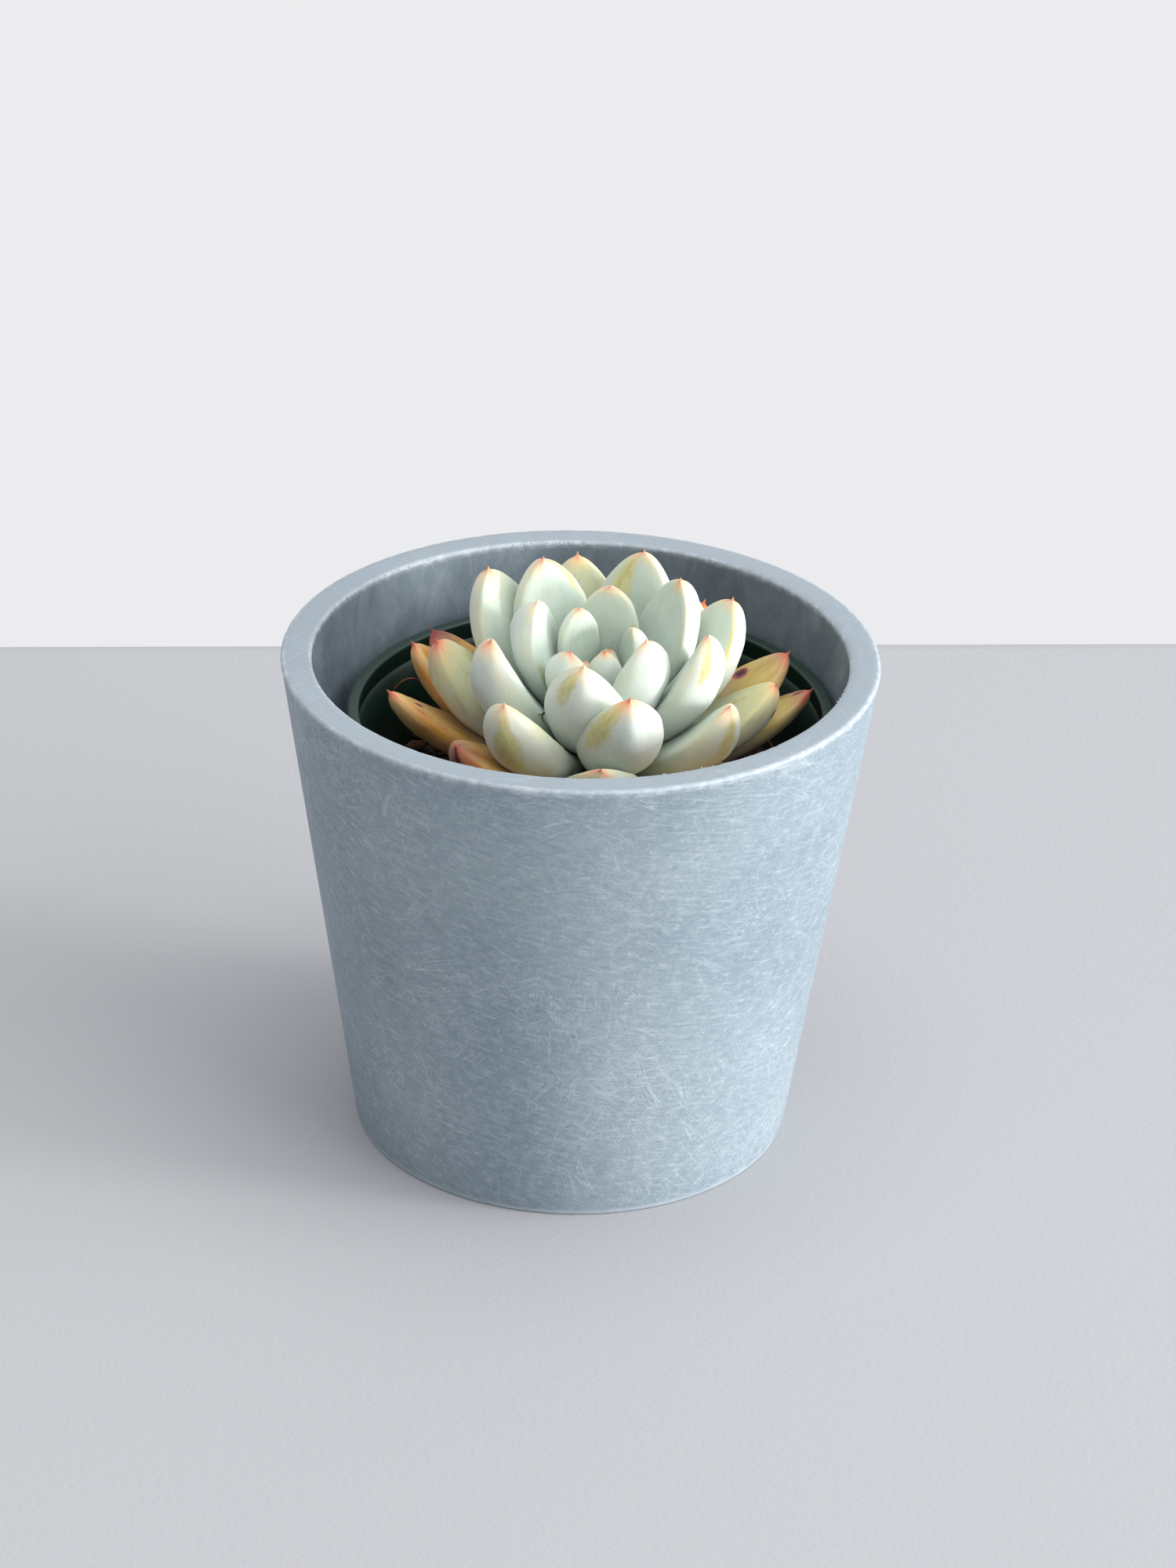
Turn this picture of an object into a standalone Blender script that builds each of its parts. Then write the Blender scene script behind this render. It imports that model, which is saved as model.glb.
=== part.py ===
"""A potted succulent: a fleshy leaf rosette in a plastic nursery pot, dropped into a tapered cachepot.

Metres, +Z up. The origin is the centre of the cachepot's foot, on the surface it stands on.
Every leaf is its own solid. The leaves sit round the stem by the golden angle, youngest first.
"""

import math

import bmesh
import bpy
from mathutils import Matrix, Vector
from mathutils.bvhtree import BVHTree

MM = 0.001
GAP = 0.3 * MM  # free space kept between touching pieces

# Cachepot: a thick moulded tapered pot.
POT_HEIGHT = 95.3 * MM
POT_TOP_RADIUS = 55.0 * MM
POT_FOOT_RADIUS = 41.0 * MM
POT_RIM_WALL = 5.7 * MM
POT_WALL = 5.2 * MM
POT_FLOOR = 6.0 * MM
POT_RIM_ROUND = 0.8 * MM
FOOT_RING_RADIUS = 33.0 * MM
FOOT_RECESS = 1.2 * MM
POT_SEGMENTS = 64

# Nursery pot: a thin growing pot standing off centre on the cachepot's floor.
NURSERY_CENTRE = Vector((2.0 * MM, 0.6 * MM, 0.0))
NURSERY_TOP = 84.0 * MM
NURSERY_TOP_RADIUS = 43.6 * MM
NURSERY_FOOT_RADIUS = 30.5 * MM
NURSERY_WALL = 1.0 * MM
NURSERY_LIP = 1.3 * MM
NURSERY_LIP_HEIGHT = 4.0 * MM
NURSERY_SEGMENTS = 48
DRAIN_HOLES = 6
DRAIN_HOLE_RADIUS = 3.5 * MM
DRAIN_CIRCLE_RADIUS = 20.0 * MM

# Potting mix: a lumpy fill up to a little under the leaves.
SOIL_TOP = 66.0 * MM
SOIL_LUMP = 0.5 * MM
SOIL_SEGMENTS = 28

# Rosette: its own upright frame, leaned towards the light (-Y) about a point on the stem.
ROSETTE_AXIS = Vector((3.3 * MM, -0.75 * MM, 0.0))
ROSETTE_PIVOT = 80.0 * MM
ROSETTE_LEAN = math.radians(10.3)
ROSETTE_SIDE_LEAN = math.radians(0.8)
STEM_RADIUS = 4.4 * MM
STEM_TOP = 88.0 * MM
ROOT_TIP = 48.0 * MM
ROOT_TIP_RADIUS = 1.5 * MM

LEAF_COUNT = 38
GOLDEN_ANGLE = math.radians(137.508)
FIRST_TURN = math.radians(279.0)
LEAF_RINGS = 8
LEAF_SIDES = 10

# How the leaves change from the youngest (0) to the oldest: (leaf number, value) pairs.
REACH = ((0, 4.3), (4, 9.8), (8, 18.0), (12, 22.6), (16, 27.9), (20, 29.4), (28, 38.2), (37, 39.5))
TIP_HEIGHT = ((0, 101.5), (4, 106.0), (8, 108.3), (12, 106.4), (16, 102.5), (20, 95.4), (28, 89.4), (37, 84.8))
FOOT_HEIGHT = ((0, 88.0), (8, 81.0), (13, 77.5), (20, 74.6), (37, 71.0))
BEND = ((0, 25.0), (6, 46.0), (16, 50.0), (24, 46.0), (37, 36.0))
WIDTH = ((0, 6.5), (1, 8.6), (4, 11.6), (8, 14.8), (12, 15.6), (20, 14.6), (37, 13.6))
THICKNESS = ((0, 3.2), (4, 5.2), (8, 7.4), (16, 7.6), (20, 6.4), (37, 4.0))

# Degrees that single leaves stand off the golden angle, and millimetres that some reach and rise further.
TURN_NUDGE = {0: 5, 1: -7, 2: 15, 3: 6, 4: -6, 5: 4, 6: -5, 7: -2, 8: 4, 9: 5, 12: 3, 13: -6, 14: -6, 15: 10,
              16: -4, 18: 4, 19: -9, 20: 7, 21: 2, 22: -8, 23: 4, 24: 4, 27: -4, 28: -5, 31: -13, 32: -12, 36: 3}
REACH_NUDGE = {2: -1, 6: -2, 7: 1, 19: 1, 31: -3, 36: 1}
TIP_NUDGE = {2: -1.5, 1: 2, 3: -2, 5: 1, 7: 1, 14: 2, 19: 1, 25: -6, 30: -4, 31: 2, 32: 3, 34: -3, 36: 1}

# Dead leaves that lie on the potting mix: turn and bend in degrees, sizes and heights in millimetres.
WITHERED_LEAVES = (
    {"turn": 197, "start": 13.0, "foot": 68.2, "reach": 36.5, "tip": 78.5, "bend": 20, "width": 9.0, "thickness": 1.4},
    {"turn": 94, "start": 12.0, "foot": 66.6, "reach": 33.0, "tip": 69.0, "bend": 18, "width": 8.0, "thickness": 1.3},
    {"turn": 318, "start": 14.0, "foot": 70.2, "reach": 34.0, "tip": 77.0, "bend": 16, "width": 8.5, "thickness": 1.3},
)

FRESH_GREEN = (0.62, 0.70, 0.60, 1.0)
AGED_OCHRE = (0.62, 0.42, 0.16, 1.0)
WITHERED_BROWN = (0.30, 0.16, 0.09, 1.0)
FIRST_AGED_LEAF = 24


def along(pairs, position):
    """Straight-line value between the pairs' knots."""
    for (left, low), (right, high) in zip(pairs, pairs[1:]):
        if position <= right:
            return low + (high - low) * (position - left) / (right - left)
    return pairs[-1][1]


def material(name, colour, roughness):
    made = bpy.data.materials.new(name)
    made.use_nodes = True
    shader = made.node_tree.nodes["Principled BSDF"]
    shader.inputs["Base Color"].default_value = colour
    shader.inputs["Roughness"].default_value = roughness
    shader.inputs["Metallic"].default_value = 0.0
    return made


def add_object(name, mesh, surface, helper=False):
    made = bpy.data.objects.new(name, mesh)
    bpy.context.scene.collection.objects.link(made)
    if surface:
        mesh.materials.append(surface)
    mesh.shade_smooth()
    mesh.set_sharp_from_angle(angle=math.radians(35))
    if helper:
        made.hide_render = True
        made.display_type = "WIRE"
    return made


def turned(name, profile, segments, surface, helper=False):
    """A solid of revolution about Z. The profile runs from the axis, round the outside, back to the axis."""
    shape = bmesh.new()
    points = [shape.verts.new((radius, 0.0, height)) for radius, height in profile]
    edges = [shape.edges.new(pair) for pair in zip(points, points[1:])]
    bmesh.ops.spin(shape, geom=points + edges, angle=2 * math.pi, steps=segments, axis=(0, 0, 1),
                   cent=(0, 0, 0), use_merge=True)
    bmesh.ops.remove_doubles(shape, verts=shape.verts, dist=1e-6)
    bmesh.ops.recalc_face_normals(shape, faces=shape.faces)
    mesh = bpy.data.meshes.new(name)
    shape.to_mesh(mesh)
    shape.free()
    return add_object(name, mesh, surface, helper)


def cut(target, cutter):
    subtract = target.modifiers.new("cut_" + cutter.name, "BOOLEAN")
    subtract.operation = "DIFFERENCE"
    subtract.object = cutter


def pot_radius(height):
    """The cachepot's outer radius at a height."""
    return POT_FOOT_RADIUS + (POT_TOP_RADIUS - POT_FOOT_RADIUS) * height / POT_HEIGHT


def make_cachepot():
    inner_top = POT_TOP_RADIUS - POT_RIM_WALL
    shoulder = POT_HEIGHT - 8 * MM
    profile = [
        (0.0, FOOT_RECESS),
        (FOOT_RING_RADIUS, FOOT_RECESS),
        (FOOT_RING_RADIUS + FOOT_RECESS, 0.0),
        (POT_FOOT_RADIUS - POT_RIM_ROUND, 0.0),
        (pot_radius(POT_RIM_ROUND), POT_RIM_ROUND),
        (pot_radius(POT_HEIGHT - POT_RIM_ROUND), POT_HEIGHT - POT_RIM_ROUND),
        (POT_TOP_RADIUS - POT_RIM_ROUND, POT_HEIGHT),
        (inner_top + POT_RIM_ROUND, POT_HEIGHT),
        (inner_top, POT_HEIGHT - POT_RIM_ROUND),
        (pot_radius(shoulder) - POT_WALL, shoulder),
        (pot_radius(POT_FLOOR + 3 * MM) - POT_WALL, POT_FLOOR + 3 * MM),
        (pot_radius(POT_FLOOR) - POT_WALL - 3 * MM, POT_FLOOR),
        (0.0, POT_FLOOR),
    ]
    return turned("cachepot", profile, POT_SEGMENTS, material("cachepot", (0.42, 0.50, 0.55, 1.0), 0.6))


def nursery_radius(height):
    """The nursery pot's outer radius below its lip."""
    bottom = POT_FLOOR + GAP
    return NURSERY_FOOT_RADIUS + (NURSERY_TOP_RADIUS - NURSERY_FOOT_RADIUS) * (height - bottom) / (
        NURSERY_TOP - bottom)


def make_nursery_pot():
    bottom = POT_FLOOR + GAP
    lip_foot = NURSERY_TOP - NURSERY_LIP_HEIGHT
    profile = [
        (0.0, bottom),
        (NURSERY_FOOT_RADIUS, bottom),
        (nursery_radius(lip_foot), lip_foot),
        (nursery_radius(lip_foot) + NURSERY_LIP, lip_foot),
        (NURSERY_TOP_RADIUS + NURSERY_LIP, NURSERY_TOP - 0.5 * MM),
        (NURSERY_TOP_RADIUS + 0.5 * MM, NURSERY_TOP),
        (NURSERY_TOP_RADIUS - NURSERY_WALL, NURSERY_TOP - 0.5 * MM),
        (nursery_radius(bottom + NURSERY_WALL) - NURSERY_WALL, bottom + NURSERY_WALL),
        (0.0, bottom + NURSERY_WALL),
    ]
    pot = turned("nursery_pot", profile, NURSERY_SEGMENTS, material("nursery_pot", (0.02, 0.09, 0.06, 1.0), 0.45))
    pot.location = NURSERY_CENTRE
    for number in range(DRAIN_HOLES):
        hole = turned(f"drain_hole_{number + 1}", [(0.0, -2 * MM), (DRAIN_HOLE_RADIUS, -2 * MM),
                      (DRAIN_HOLE_RADIUS, 2 * MM), (0.0, 2 * MM)], 12, None, helper=True)
        turn = 2 * math.pi * number / DRAIN_HOLES
        hole.location = NURSERY_CENTRE + Vector((DRAIN_CIRCLE_RADIUS * math.cos(turn),
                                                 DRAIN_CIRCLE_RADIUS * math.sin(turn), bottom + NURSERY_WALL / 2))
        cut(pot, hole)
    return pot


def make_soil():
    """Potting mix, lumpy on top, with a hole left for the stem and root."""
    bottom = POT_FLOOR + 2 * GAP + NURSERY_WALL
    edge_low = nursery_radius(bottom) - NURSERY_WALL - GAP
    edge_high = nursery_radius(SOIL_TOP) - NURSERY_WALL - 2 * GAP
    rings = (0.0, 0.25, 0.5, 0.75, 1.0)
    profile = [(0.0, bottom), (edge_low, bottom)]
    profile += [(edge_high * share, SOIL_TOP) for share in reversed(rings)]
    soil = turned("potting_mix", profile, SOIL_SEGMENTS, material("potting_mix", (0.035, 0.028, 0.022, 1.0), 0.95))
    for vertex in soil.data.vertices:
        if vertex.co.z > SOIL_TOP - GAP:
            ripple = math.sin(430 * vertex.co.x + 1.3) * math.cos(510 * vertex.co.y - 0.4)
            vertex.co.z += SOIL_LUMP * ripple
    soil.location = NURSERY_CENTRE
    return soil


def rosette_matrix():
    """From the upright rosette frame to the world: leaned about the pivot, then moved onto its axis."""
    pivot = Vector((0.0, 0.0, ROSETTE_PIVOT))
    lean = Matrix.Rotation(ROSETTE_SIDE_LEAN, 4, "Y") @ Matrix.Rotation(ROSETTE_LEAN, 4, "X")
    return Matrix.Translation(pivot + ROSETTE_AXIS) @ lean @ Matrix.Translation(-pivot)


def make_stem(soil):
    """The short stem with its tap root, and the room that it takes in the potting mix."""
    surface = material("stem", (0.30, 0.26, 0.16, 1.0), 0.8)

    def profile(extra):
        return [
            (0.0, ROOT_TIP - extra),
            (ROOT_TIP_RADIUS + extra, ROOT_TIP - extra),
            (STEM_RADIUS * 0.8 + extra, SOIL_TOP - 4 * MM),
            (STEM_RADIUS + extra, SOIL_TOP + 3 * MM),
            (STEM_RADIUS + extra, STEM_TOP - 6 * MM),
            (STEM_RADIUS * 0.35 + extra, STEM_TOP + extra),
            (0.0, STEM_TOP + extra),
        ]

    stem = turned("stem", profile(0.0), 16, surface)
    room = turned("stem_room", profile(GAP), 16, None, helper=True)
    stem.matrix_world = room.matrix_world = rosette_matrix()
    cut(soil, room)
    return stem


def leaf_facts(number):
    """Everything that shapes one leaf, in metres and radians."""
    return {
        "turn": FIRST_TURN - GOLDEN_ANGLE * number + math.radians(TURN_NUDGE.get(number, 0)),
        "start": STEM_RADIUS + GAP,
        "reach": (along(REACH, number) + REACH_NUDGE.get(number, 0)) * MM,
        "tip": (along(TIP_HEIGHT, number) + TIP_NUDGE.get(number, 0)) * MM,
        "foot": along(FOOT_HEIGHT, number) * MM,
        "bend": math.radians(along(BEND, number)),
        "width": along(WIDTH, number) * MM,
        "thickness": along(THICKNESS, number) * MM,
    }


def withered_facts(given):
    """The same facts for a dead leaf, from degrees and millimetres."""
    facts = {name: value * MM for name, value in given.items()}
    facts["turn"] = math.radians(given["turn"])
    facts["bend"] = math.radians(given["bend"])
    return facts


def leaf_outline(share, width, thickness):
    """Half width and thickness at a share of the leaf's length: a narrow foot, a broad shoulder and a point."""
    if share >= 1.0:
        return 0.0, 0.0
    foot = (1 - share) ** 3 * min(1.0, width / (10 * MM))
    half_width = width / 2 * math.sin(math.pi * share ** 1.35) ** 0.7 + 1.8 * MM * foot
    depth = thickness * math.sin(math.pi * share ** 1.3) ** 0.5 + 2.0 * MM * foot
    return half_width, depth


def leaf_point(facts, share, angle, grow=0.0):
    """A point on the leaf's skin in the rosette frame. The spine is an arc that rises from foot to tip."""
    chord = Vector((facts["reach"] - facts["start"], facts["tip"] - facts["foot"]))
    slope = math.atan2(chord.y, chord.x) - facts["bend"] / 2
    radius = chord.length / 2 / math.sin(facts["bend"] / 2)
    aim = slope + facts["bend"] * share
    out = facts["start"] + radius * (math.sin(aim) - math.sin(slope))
    up = facts["foot"] + radius * (math.cos(slope) - math.cos(aim))
    half_width, depth = leaf_outline(share, facts["width"], facts["thickness"])
    half_width += grow
    across = half_width * math.cos(angle)
    skin = math.copysign(abs(math.sin(angle)) ** 0.9, math.sin(angle))
    inner = skin * (0.30 * depth + grow) if skin > 0 else skin * (0.70 * depth + grow)
    inner += 0.10 * half_width * math.cos(angle) ** 2 * math.sin(math.pi * share)
    radial = Vector((math.cos(facts["turn"]), math.sin(facts["turn"]), 0.0))
    sideways = Vector((-radial.y, radial.x, 0.0))
    rise = Vector((0.0, 0.0, 1.0))
    inwards = rise * math.cos(aim) - radial * math.sin(aim)
    return radial * out + rise * up + sideways * across + inwards * inner


def leaf_mesh(name, facts, grow=0.0):
    """Rings of skin points between a capped foot and a single point at the tip."""
    shape = bmesh.new()
    rings = []
    for step in range(LEAF_RINGS):
        share = 0.5 - 0.5 * math.cos(math.pi * step / LEAF_RINGS)
        ring = [shape.verts.new(leaf_point(facts, share, 2 * math.pi * side / LEAF_SIDES, grow))
                for side in range(LEAF_SIDES)]
        rings.append(ring)
    tip = shape.verts.new(leaf_point(facts, 1.0, 0.0))
    for low, high in zip(rings, rings[1:]):
        for side in range(LEAF_SIDES):
            after = (side + 1) % LEAF_SIDES
            shape.faces.new((low[side], low[after], high[after], high[side]))
    for side in range(LEAF_SIDES):
        shape.faces.new((rings[-1][side], rings[-1][(side + 1) % LEAF_SIDES], tip))
    shape.faces.new(list(reversed(rings[0])))
    shape.transform(rosette_matrix())
    bmesh.ops.triangulate(shape, faces=shape.faces)
    bmesh.ops.recalc_face_normals(shape, faces=shape.faces)
    mesh = bpy.data.meshes.new(name)
    shape.to_mesh(mesh)
    tree = BVHTree.FromBMesh(shape)
    shape.free()
    return mesh, tree


def make_leaves():
    """All leaves. Where an older leaf presses on a younger one, it is hollowed to fit with a gap."""
    fresh = material("fresh_leaf", FRESH_GREEN, 0.5)
    aged = material("aged_leaf", AGED_OCHRE, 0.5)
    withered = material("withered_leaf", WITHERED_BROWN, 0.9)
    plan = [(f"leaf_{number + 1:02d}", leaf_facts(number), fresh if number < FIRST_AGED_LEAF else aged)
            for number in range(LEAF_COUNT)]
    plan += [(f"withered_leaf_{number + 1}", withered_facts(given), withered)
             for number, given in enumerate(WITHERED_LEAVES)]
    rooms = []
    for name, facts, surface in plan:
        mesh, tree = leaf_mesh(name, facts)
        leaf = add_object(name, mesh, surface)
        for room, room_tree in rooms:
            if tree.overlap(room_tree):
                cut(leaf, room)
        room_mesh, room_tree = leaf_mesh(name + "_room", facts, GAP)
        rooms.append((add_object(name + "_room", room_mesh, None, helper=True), room_tree))


def main():
    for old in list(bpy.data.objects):
        bpy.data.objects.remove(old)
    make_cachepot()
    make_nursery_pot()
    soil = make_soil()
    make_stem(soil)
    make_leaves()


main()
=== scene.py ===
import math
import random

import bmesh
import bpy
from mathutils import Matrix, Vector


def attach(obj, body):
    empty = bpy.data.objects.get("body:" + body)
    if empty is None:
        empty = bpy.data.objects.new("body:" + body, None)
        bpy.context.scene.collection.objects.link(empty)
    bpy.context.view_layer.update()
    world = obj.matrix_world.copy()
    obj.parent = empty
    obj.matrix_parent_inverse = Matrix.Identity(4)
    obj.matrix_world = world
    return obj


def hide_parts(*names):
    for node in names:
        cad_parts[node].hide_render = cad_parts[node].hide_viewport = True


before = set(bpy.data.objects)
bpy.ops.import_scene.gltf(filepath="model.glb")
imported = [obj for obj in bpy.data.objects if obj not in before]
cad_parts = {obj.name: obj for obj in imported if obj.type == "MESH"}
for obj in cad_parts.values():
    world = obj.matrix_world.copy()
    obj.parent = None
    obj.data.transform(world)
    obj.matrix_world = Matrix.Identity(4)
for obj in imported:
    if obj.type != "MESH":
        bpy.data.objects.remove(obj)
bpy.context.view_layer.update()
mm = 0.001


# helpers for node trees
class Wire:
    # one output socket of a tree; arithmetic on it adds Math or Vector Math nodes
    def __init__(self, graph, socket):
        self.graph = graph
        self.socket = socket

    def isVector(self):
        return self.socket.type in ("VECTOR", "RGBA")

    def maths(self, operation, *values):
        if any(isVector(value) for value in values):
            if operation == "MULTIPLY" and not all(isVector(value) for value in values):
                vector, number = values if isVector(values[0]) else reversed(values)
                return self.graph.node("ShaderNodeVectorMath", {"operation": "SCALE"},
                                       {0: vector, "Scale": number})
            return self.graph.node("ShaderNodeVectorMath", {"operation": operation}, dict(enumerate(values)))
        return self.graph.maths(operation, *values)

    def __add__(self, other):
        return self.maths("ADD", self, other)

    def __sub__(self, other):
        return self.maths("SUBTRACT", self, other)

    def __rsub__(self, other):
        return self.maths("SUBTRACT", other, self)

    def __mul__(self, other):
        return self.maths("MULTIPLY", self, other)

    def __truediv__(self, other):
        return self.maths("DIVIDE", self, other)

    def __pow__(self, other):
        return self.maths("POWER", self, other)

    __radd__ = __add__
    __rmul__ = __mul__


def isVector(value):
    return value.isVector() if isinstance(value, Wire) else isinstance(value, (tuple, Vector))


class Graph:
    # adds nodes to one tree
    def __init__(self, tree):
        self.tree = tree

    def node(self, kind, settings=None, inputs=None, output=0):
        made = self.tree.nodes.new(kind)
        for name, value in (settings or {}).items():
            setattr(made, name, value)
        for key, value in (inputs or {}).items():
            socket = made.inputs[key]
            if isinstance(value, Wire):
                self.tree.links.new(value.socket, socket)
            else:
                socket.default_value = value
        # an output node has nothing to hand on
        return None if output is None else Wire(self, made.outputs[output])

    def link(self, wire, kind, key):
        # feeds a socket of a node that is already in the tree
        target = next(node for node in self.tree.nodes if node.bl_idname == kind)
        self.tree.links.new(wire.socket, target.inputs[key])

    def maths(self, operation, *values):
        return self.node("ShaderNodeMath", {"operation": operation}, dict(enumerate(values)))

    def sine(self, value):
        return self.maths("SINE", value)

    def cosine(self, value):
        return self.maths("COSINE", value)

    def absolute(self, value):
        return self.maths("ABSOLUTE", value)

    def arcTangent(self, rise, run):
        return self.maths("ARCTAN2", rise, run)

    def larger(self, one, two):
        return self.maths("MAXIMUM", one, two)

    def smaller(self, one, two):
        return self.maths("MINIMUM", one, two)

    def vector(self, x=0.0, y=0.0, z=0.0):
        return self.node("ShaderNodeCombineXYZ", None, {0: x, 1: y, 2: z})

    def parts(self, vector):
        # its X, Y and Z
        first = self.node("ShaderNodeSeparateXYZ", None, {0: vector})
        return [Wire(self, socket) for socket in first.socket.node.outputs]

    def randomVector(self, low, high, seed):
        return self.node("FunctionNodeRandomValue", {"data_type": "FLOAT_VECTOR"},
                         {0: low, 1: high, "Seed": seed})

    def ease(self, value, low, high):
        # 0 below low, 1 above high, smooth between; low may be the larger one
        if low > high:
            return 1 - self.ease(value, high, low)
        return self.node("ShaderNodeMapRange", {"interpolation_type": "SMOOTHSTEP"},
                         {"Value": value, "From Min": low, "From Max": high})

    def attribute(self, name):
        return self.node("ShaderNodeAttribute", {"attribute_name": name}, output="Fac")

    def objectPlace(self):
        return self.node("ShaderNodeTexCoord", output="Object")

    def noise(self, place, scale, detail=2.0, rough=0.5, twist=0.0, output=0):
        inputs = {"Vector": place, "Scale": scale, "Detail": detail, "Roughness": rough, "Distortion": twist}
        return self.node("ShaderNodeTexNoise", None, inputs, output)

    def mapping(self, place, turn=(0, 0, 0), stretch=(1, 1, 1), shift=(0, 0, 0)):
        # turns the pattern first and stretches it afterwards
        return self.node("ShaderNodeMapping", {"vector_type": "TEXTURE"}, {
            "Vector": place, "Location": shift, "Rotation": turn, "Scale": stretch})

    def cells(self, place, scale):
        return self.node("ShaderNodeTexVoronoi", None, {"Vector": place, "Scale": scale})

    def blend(self, share, one, two):
        # two's share over one; each is a wire or a display colour, 0 to 255
        one, two = (value if isinstance(value, Wire) else paint(*value) for value in (one, two))
        return self.node("ShaderNodeMix", {"data_type": "RGBA"}, {0: share, 6: one, 7: two}, 2)


def paint(red, green, blue):
    # a display colour in the shaders' own linear measure
    def straight(value):
        value /= 255
        return value / 12.92 if value <= 0.04045 else ((value + 0.055) / 1.055) ** 2.4
    return (straight(red), straight(green), straight(blue), 1.0)


def newMaterial(name, constants):
    made = bpy.data.materials.new(name)
    made.use_nodes = True
    shader = made.node_tree.nodes["Principled BSDF"]
    for socket, value in constants.items():
        shader.inputs[socket].default_value = value
    return made, Graph(made.node_tree)


def finishShader(graph, colour, roughness, height, reliefDepth, strength=1.0):
    bump = graph.node("ShaderNodeBump", None, {
        "Strength": strength, "Distance": reliefDepth, "Height": height})
    for key, wire in {"Base Color": colour, "Roughness": roughness, "Normal": bump}.items():
        graph.link(wire, "ShaderNodeBsdfPrincipled", key)


# helpers for meshes
def addPiece(name, mesh, material=None):
    made = bpy.data.objects.new(name, mesh)
    bpy.context.scene.collection.objects.link(made)
    if material:
        mesh.materials.clear()
        mesh.materials.append(material)
    return made


def savedMesh(name, shape):
    mesh = bpy.data.meshes.new(name)
    shape.to_mesh(mesh)
    shape.free()
    return mesh


def plainMesh(piece, **options):
    # what the piece's modifiers or curve come to
    graph = bpy.context.evaluated_depsgraph_get()
    return bpy.data.meshes.new_from_object(piece.evaluated_get(graph), depsgraph=graph, **options)


def moveMesh(mesh, offset):
    for vertex in mesh.vertices:
        vertex.co.x += offset[0]
        vertex.co.y += offset[1]


def turnedMesh(name, profile, sides, waver=None):
    # a solid of revolution about Z; the profile runs from the axis, round the outside, back to the axis
    shape = bmesh.new()
    rings = []
    for number, (radius, height) in enumerate(profile):
        if radius == 0.0:
            rings.append([shape.verts.new((0, 0, height))])
            continue
        ring = []
        for side in range(sides):
            turn = 2 * math.pi * side / sides
            spread, rise = waver(number, turn) if waver else (0.0, 0.0)
            wide = radius + spread
            ring.append(shape.verts.new((wide * math.cos(turn), wide * math.sin(turn), height + rise)))
        rings.append(ring)
    for low, high in zip(rings, rings[1:]):
        for side in range(sides):
            after = (side + 1) % sides
            # at the axis a ring is a single corner, and the face has three
            corners = [low[side % len(low)], low[after % len(low)],
                       high[after % len(high)], high[side % len(high)]]
            shape.faces.new(list(dict.fromkeys(corners)))
    bmesh.ops.recalc_face_normals(shape, faces=shape.faces)
    mesh = savedMesh(name, shape)
    mesh.shade_smooth()
    return mesh


def arcPoints(centre, radius, fromTurn, toTurn, steps):
    # points on a round corner of a profile, turns in degrees
    made = []
    for step in range(steps + 1):
        turn = math.radians(fromTurn + (toTurn - fromTurn) * step / steps)
        made.append((centre[0] + radius * math.cos(turn), centre[1] + radius * math.sin(turn)))
    return made


def growPiece(name, tree, values, mesh=None):
    # runs a geometry tree on a new object and keeps the result as a plain mesh
    piece = addPiece(name, mesh or bpy.data.meshes.new(name))
    grow = piece.modifiers.new("grow", "NODES")
    grow.node_group = tree
    for item in tree.interface.items_tree:
        if item.item_type == "SOCKET" and item.in_out == "INPUT" and item.name in values:
            grow[item.identifier] = values[item.name]
    grown = plainMesh(piece, preserve_all_data_layers=True)
    piece.modifiers.clear()
    piece.data = grown
    grown.name = name
    return piece


def settle(piece, node):
    # every piece rides on the one body; node is the CAD solid that it stands for, or None
    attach(piece, "root")
    if node:
        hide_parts(node)


def treeWith(name, numbers, counts):
    # an empty geometry tree with named inputs, and a dictionary of their wires
    tree = bpy.data.node_groups.new(name, "GeometryNodeTree")
    kinds = {"Geometry": "Geometry", **dict.fromkeys(numbers, "Float"), **dict.fromkeys(counts, "Int"),
             "Material": "Material"}
    for socketName, kind in kinds.items():
        tree.interface.new_socket(socketName, in_out="INPUT", socket_type="NodeSocket" + kind)
    tree.interface.new_socket("Geometry", in_out="OUTPUT", socket_type="NodeSocketGeometry")
    graph = Graph(tree)
    entry = tree.nodes.new("NodeGroupInput")
    return tree, graph, {socketName: Wire(graph, entry.outputs[socketName]) for socketName in kinds}


def closeTree(graph, shape, material):
    # every tree ends in Realize Instances and Set Material
    real = graph.node("GeometryNodeRealizeInstances", None, {0: shape})
    smooth = graph.node("GeometryNodeSetShadeSmooth", None, {"Geometry": real})
    done = graph.node("GeometryNodeSetMaterial", None, {"Geometry": smooth, "Material": material})
    graph.node("NodeGroupOutput", None, {0: done}, None)


def savedAs(graph, shape, name, value):
    return graph.node("GeometryNodeStoreNamedAttribute", {"data_type": "FLOAT", "domain": "POINT"},
                      {"Geometry": shape, "Name": name, "Value": value})


# camera, light, table
viewer = {
    "place": (0.0290, -0.8209, 0.4937),
    "yaw": math.radians(-1.89),
    "pitch": math.radians(27.37),
    "roll": math.radians(1.46),
    "lens": 114.5,
    "sensor": 36,
    "nearest": 0.05,
    "farthest": 50,
}


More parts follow.
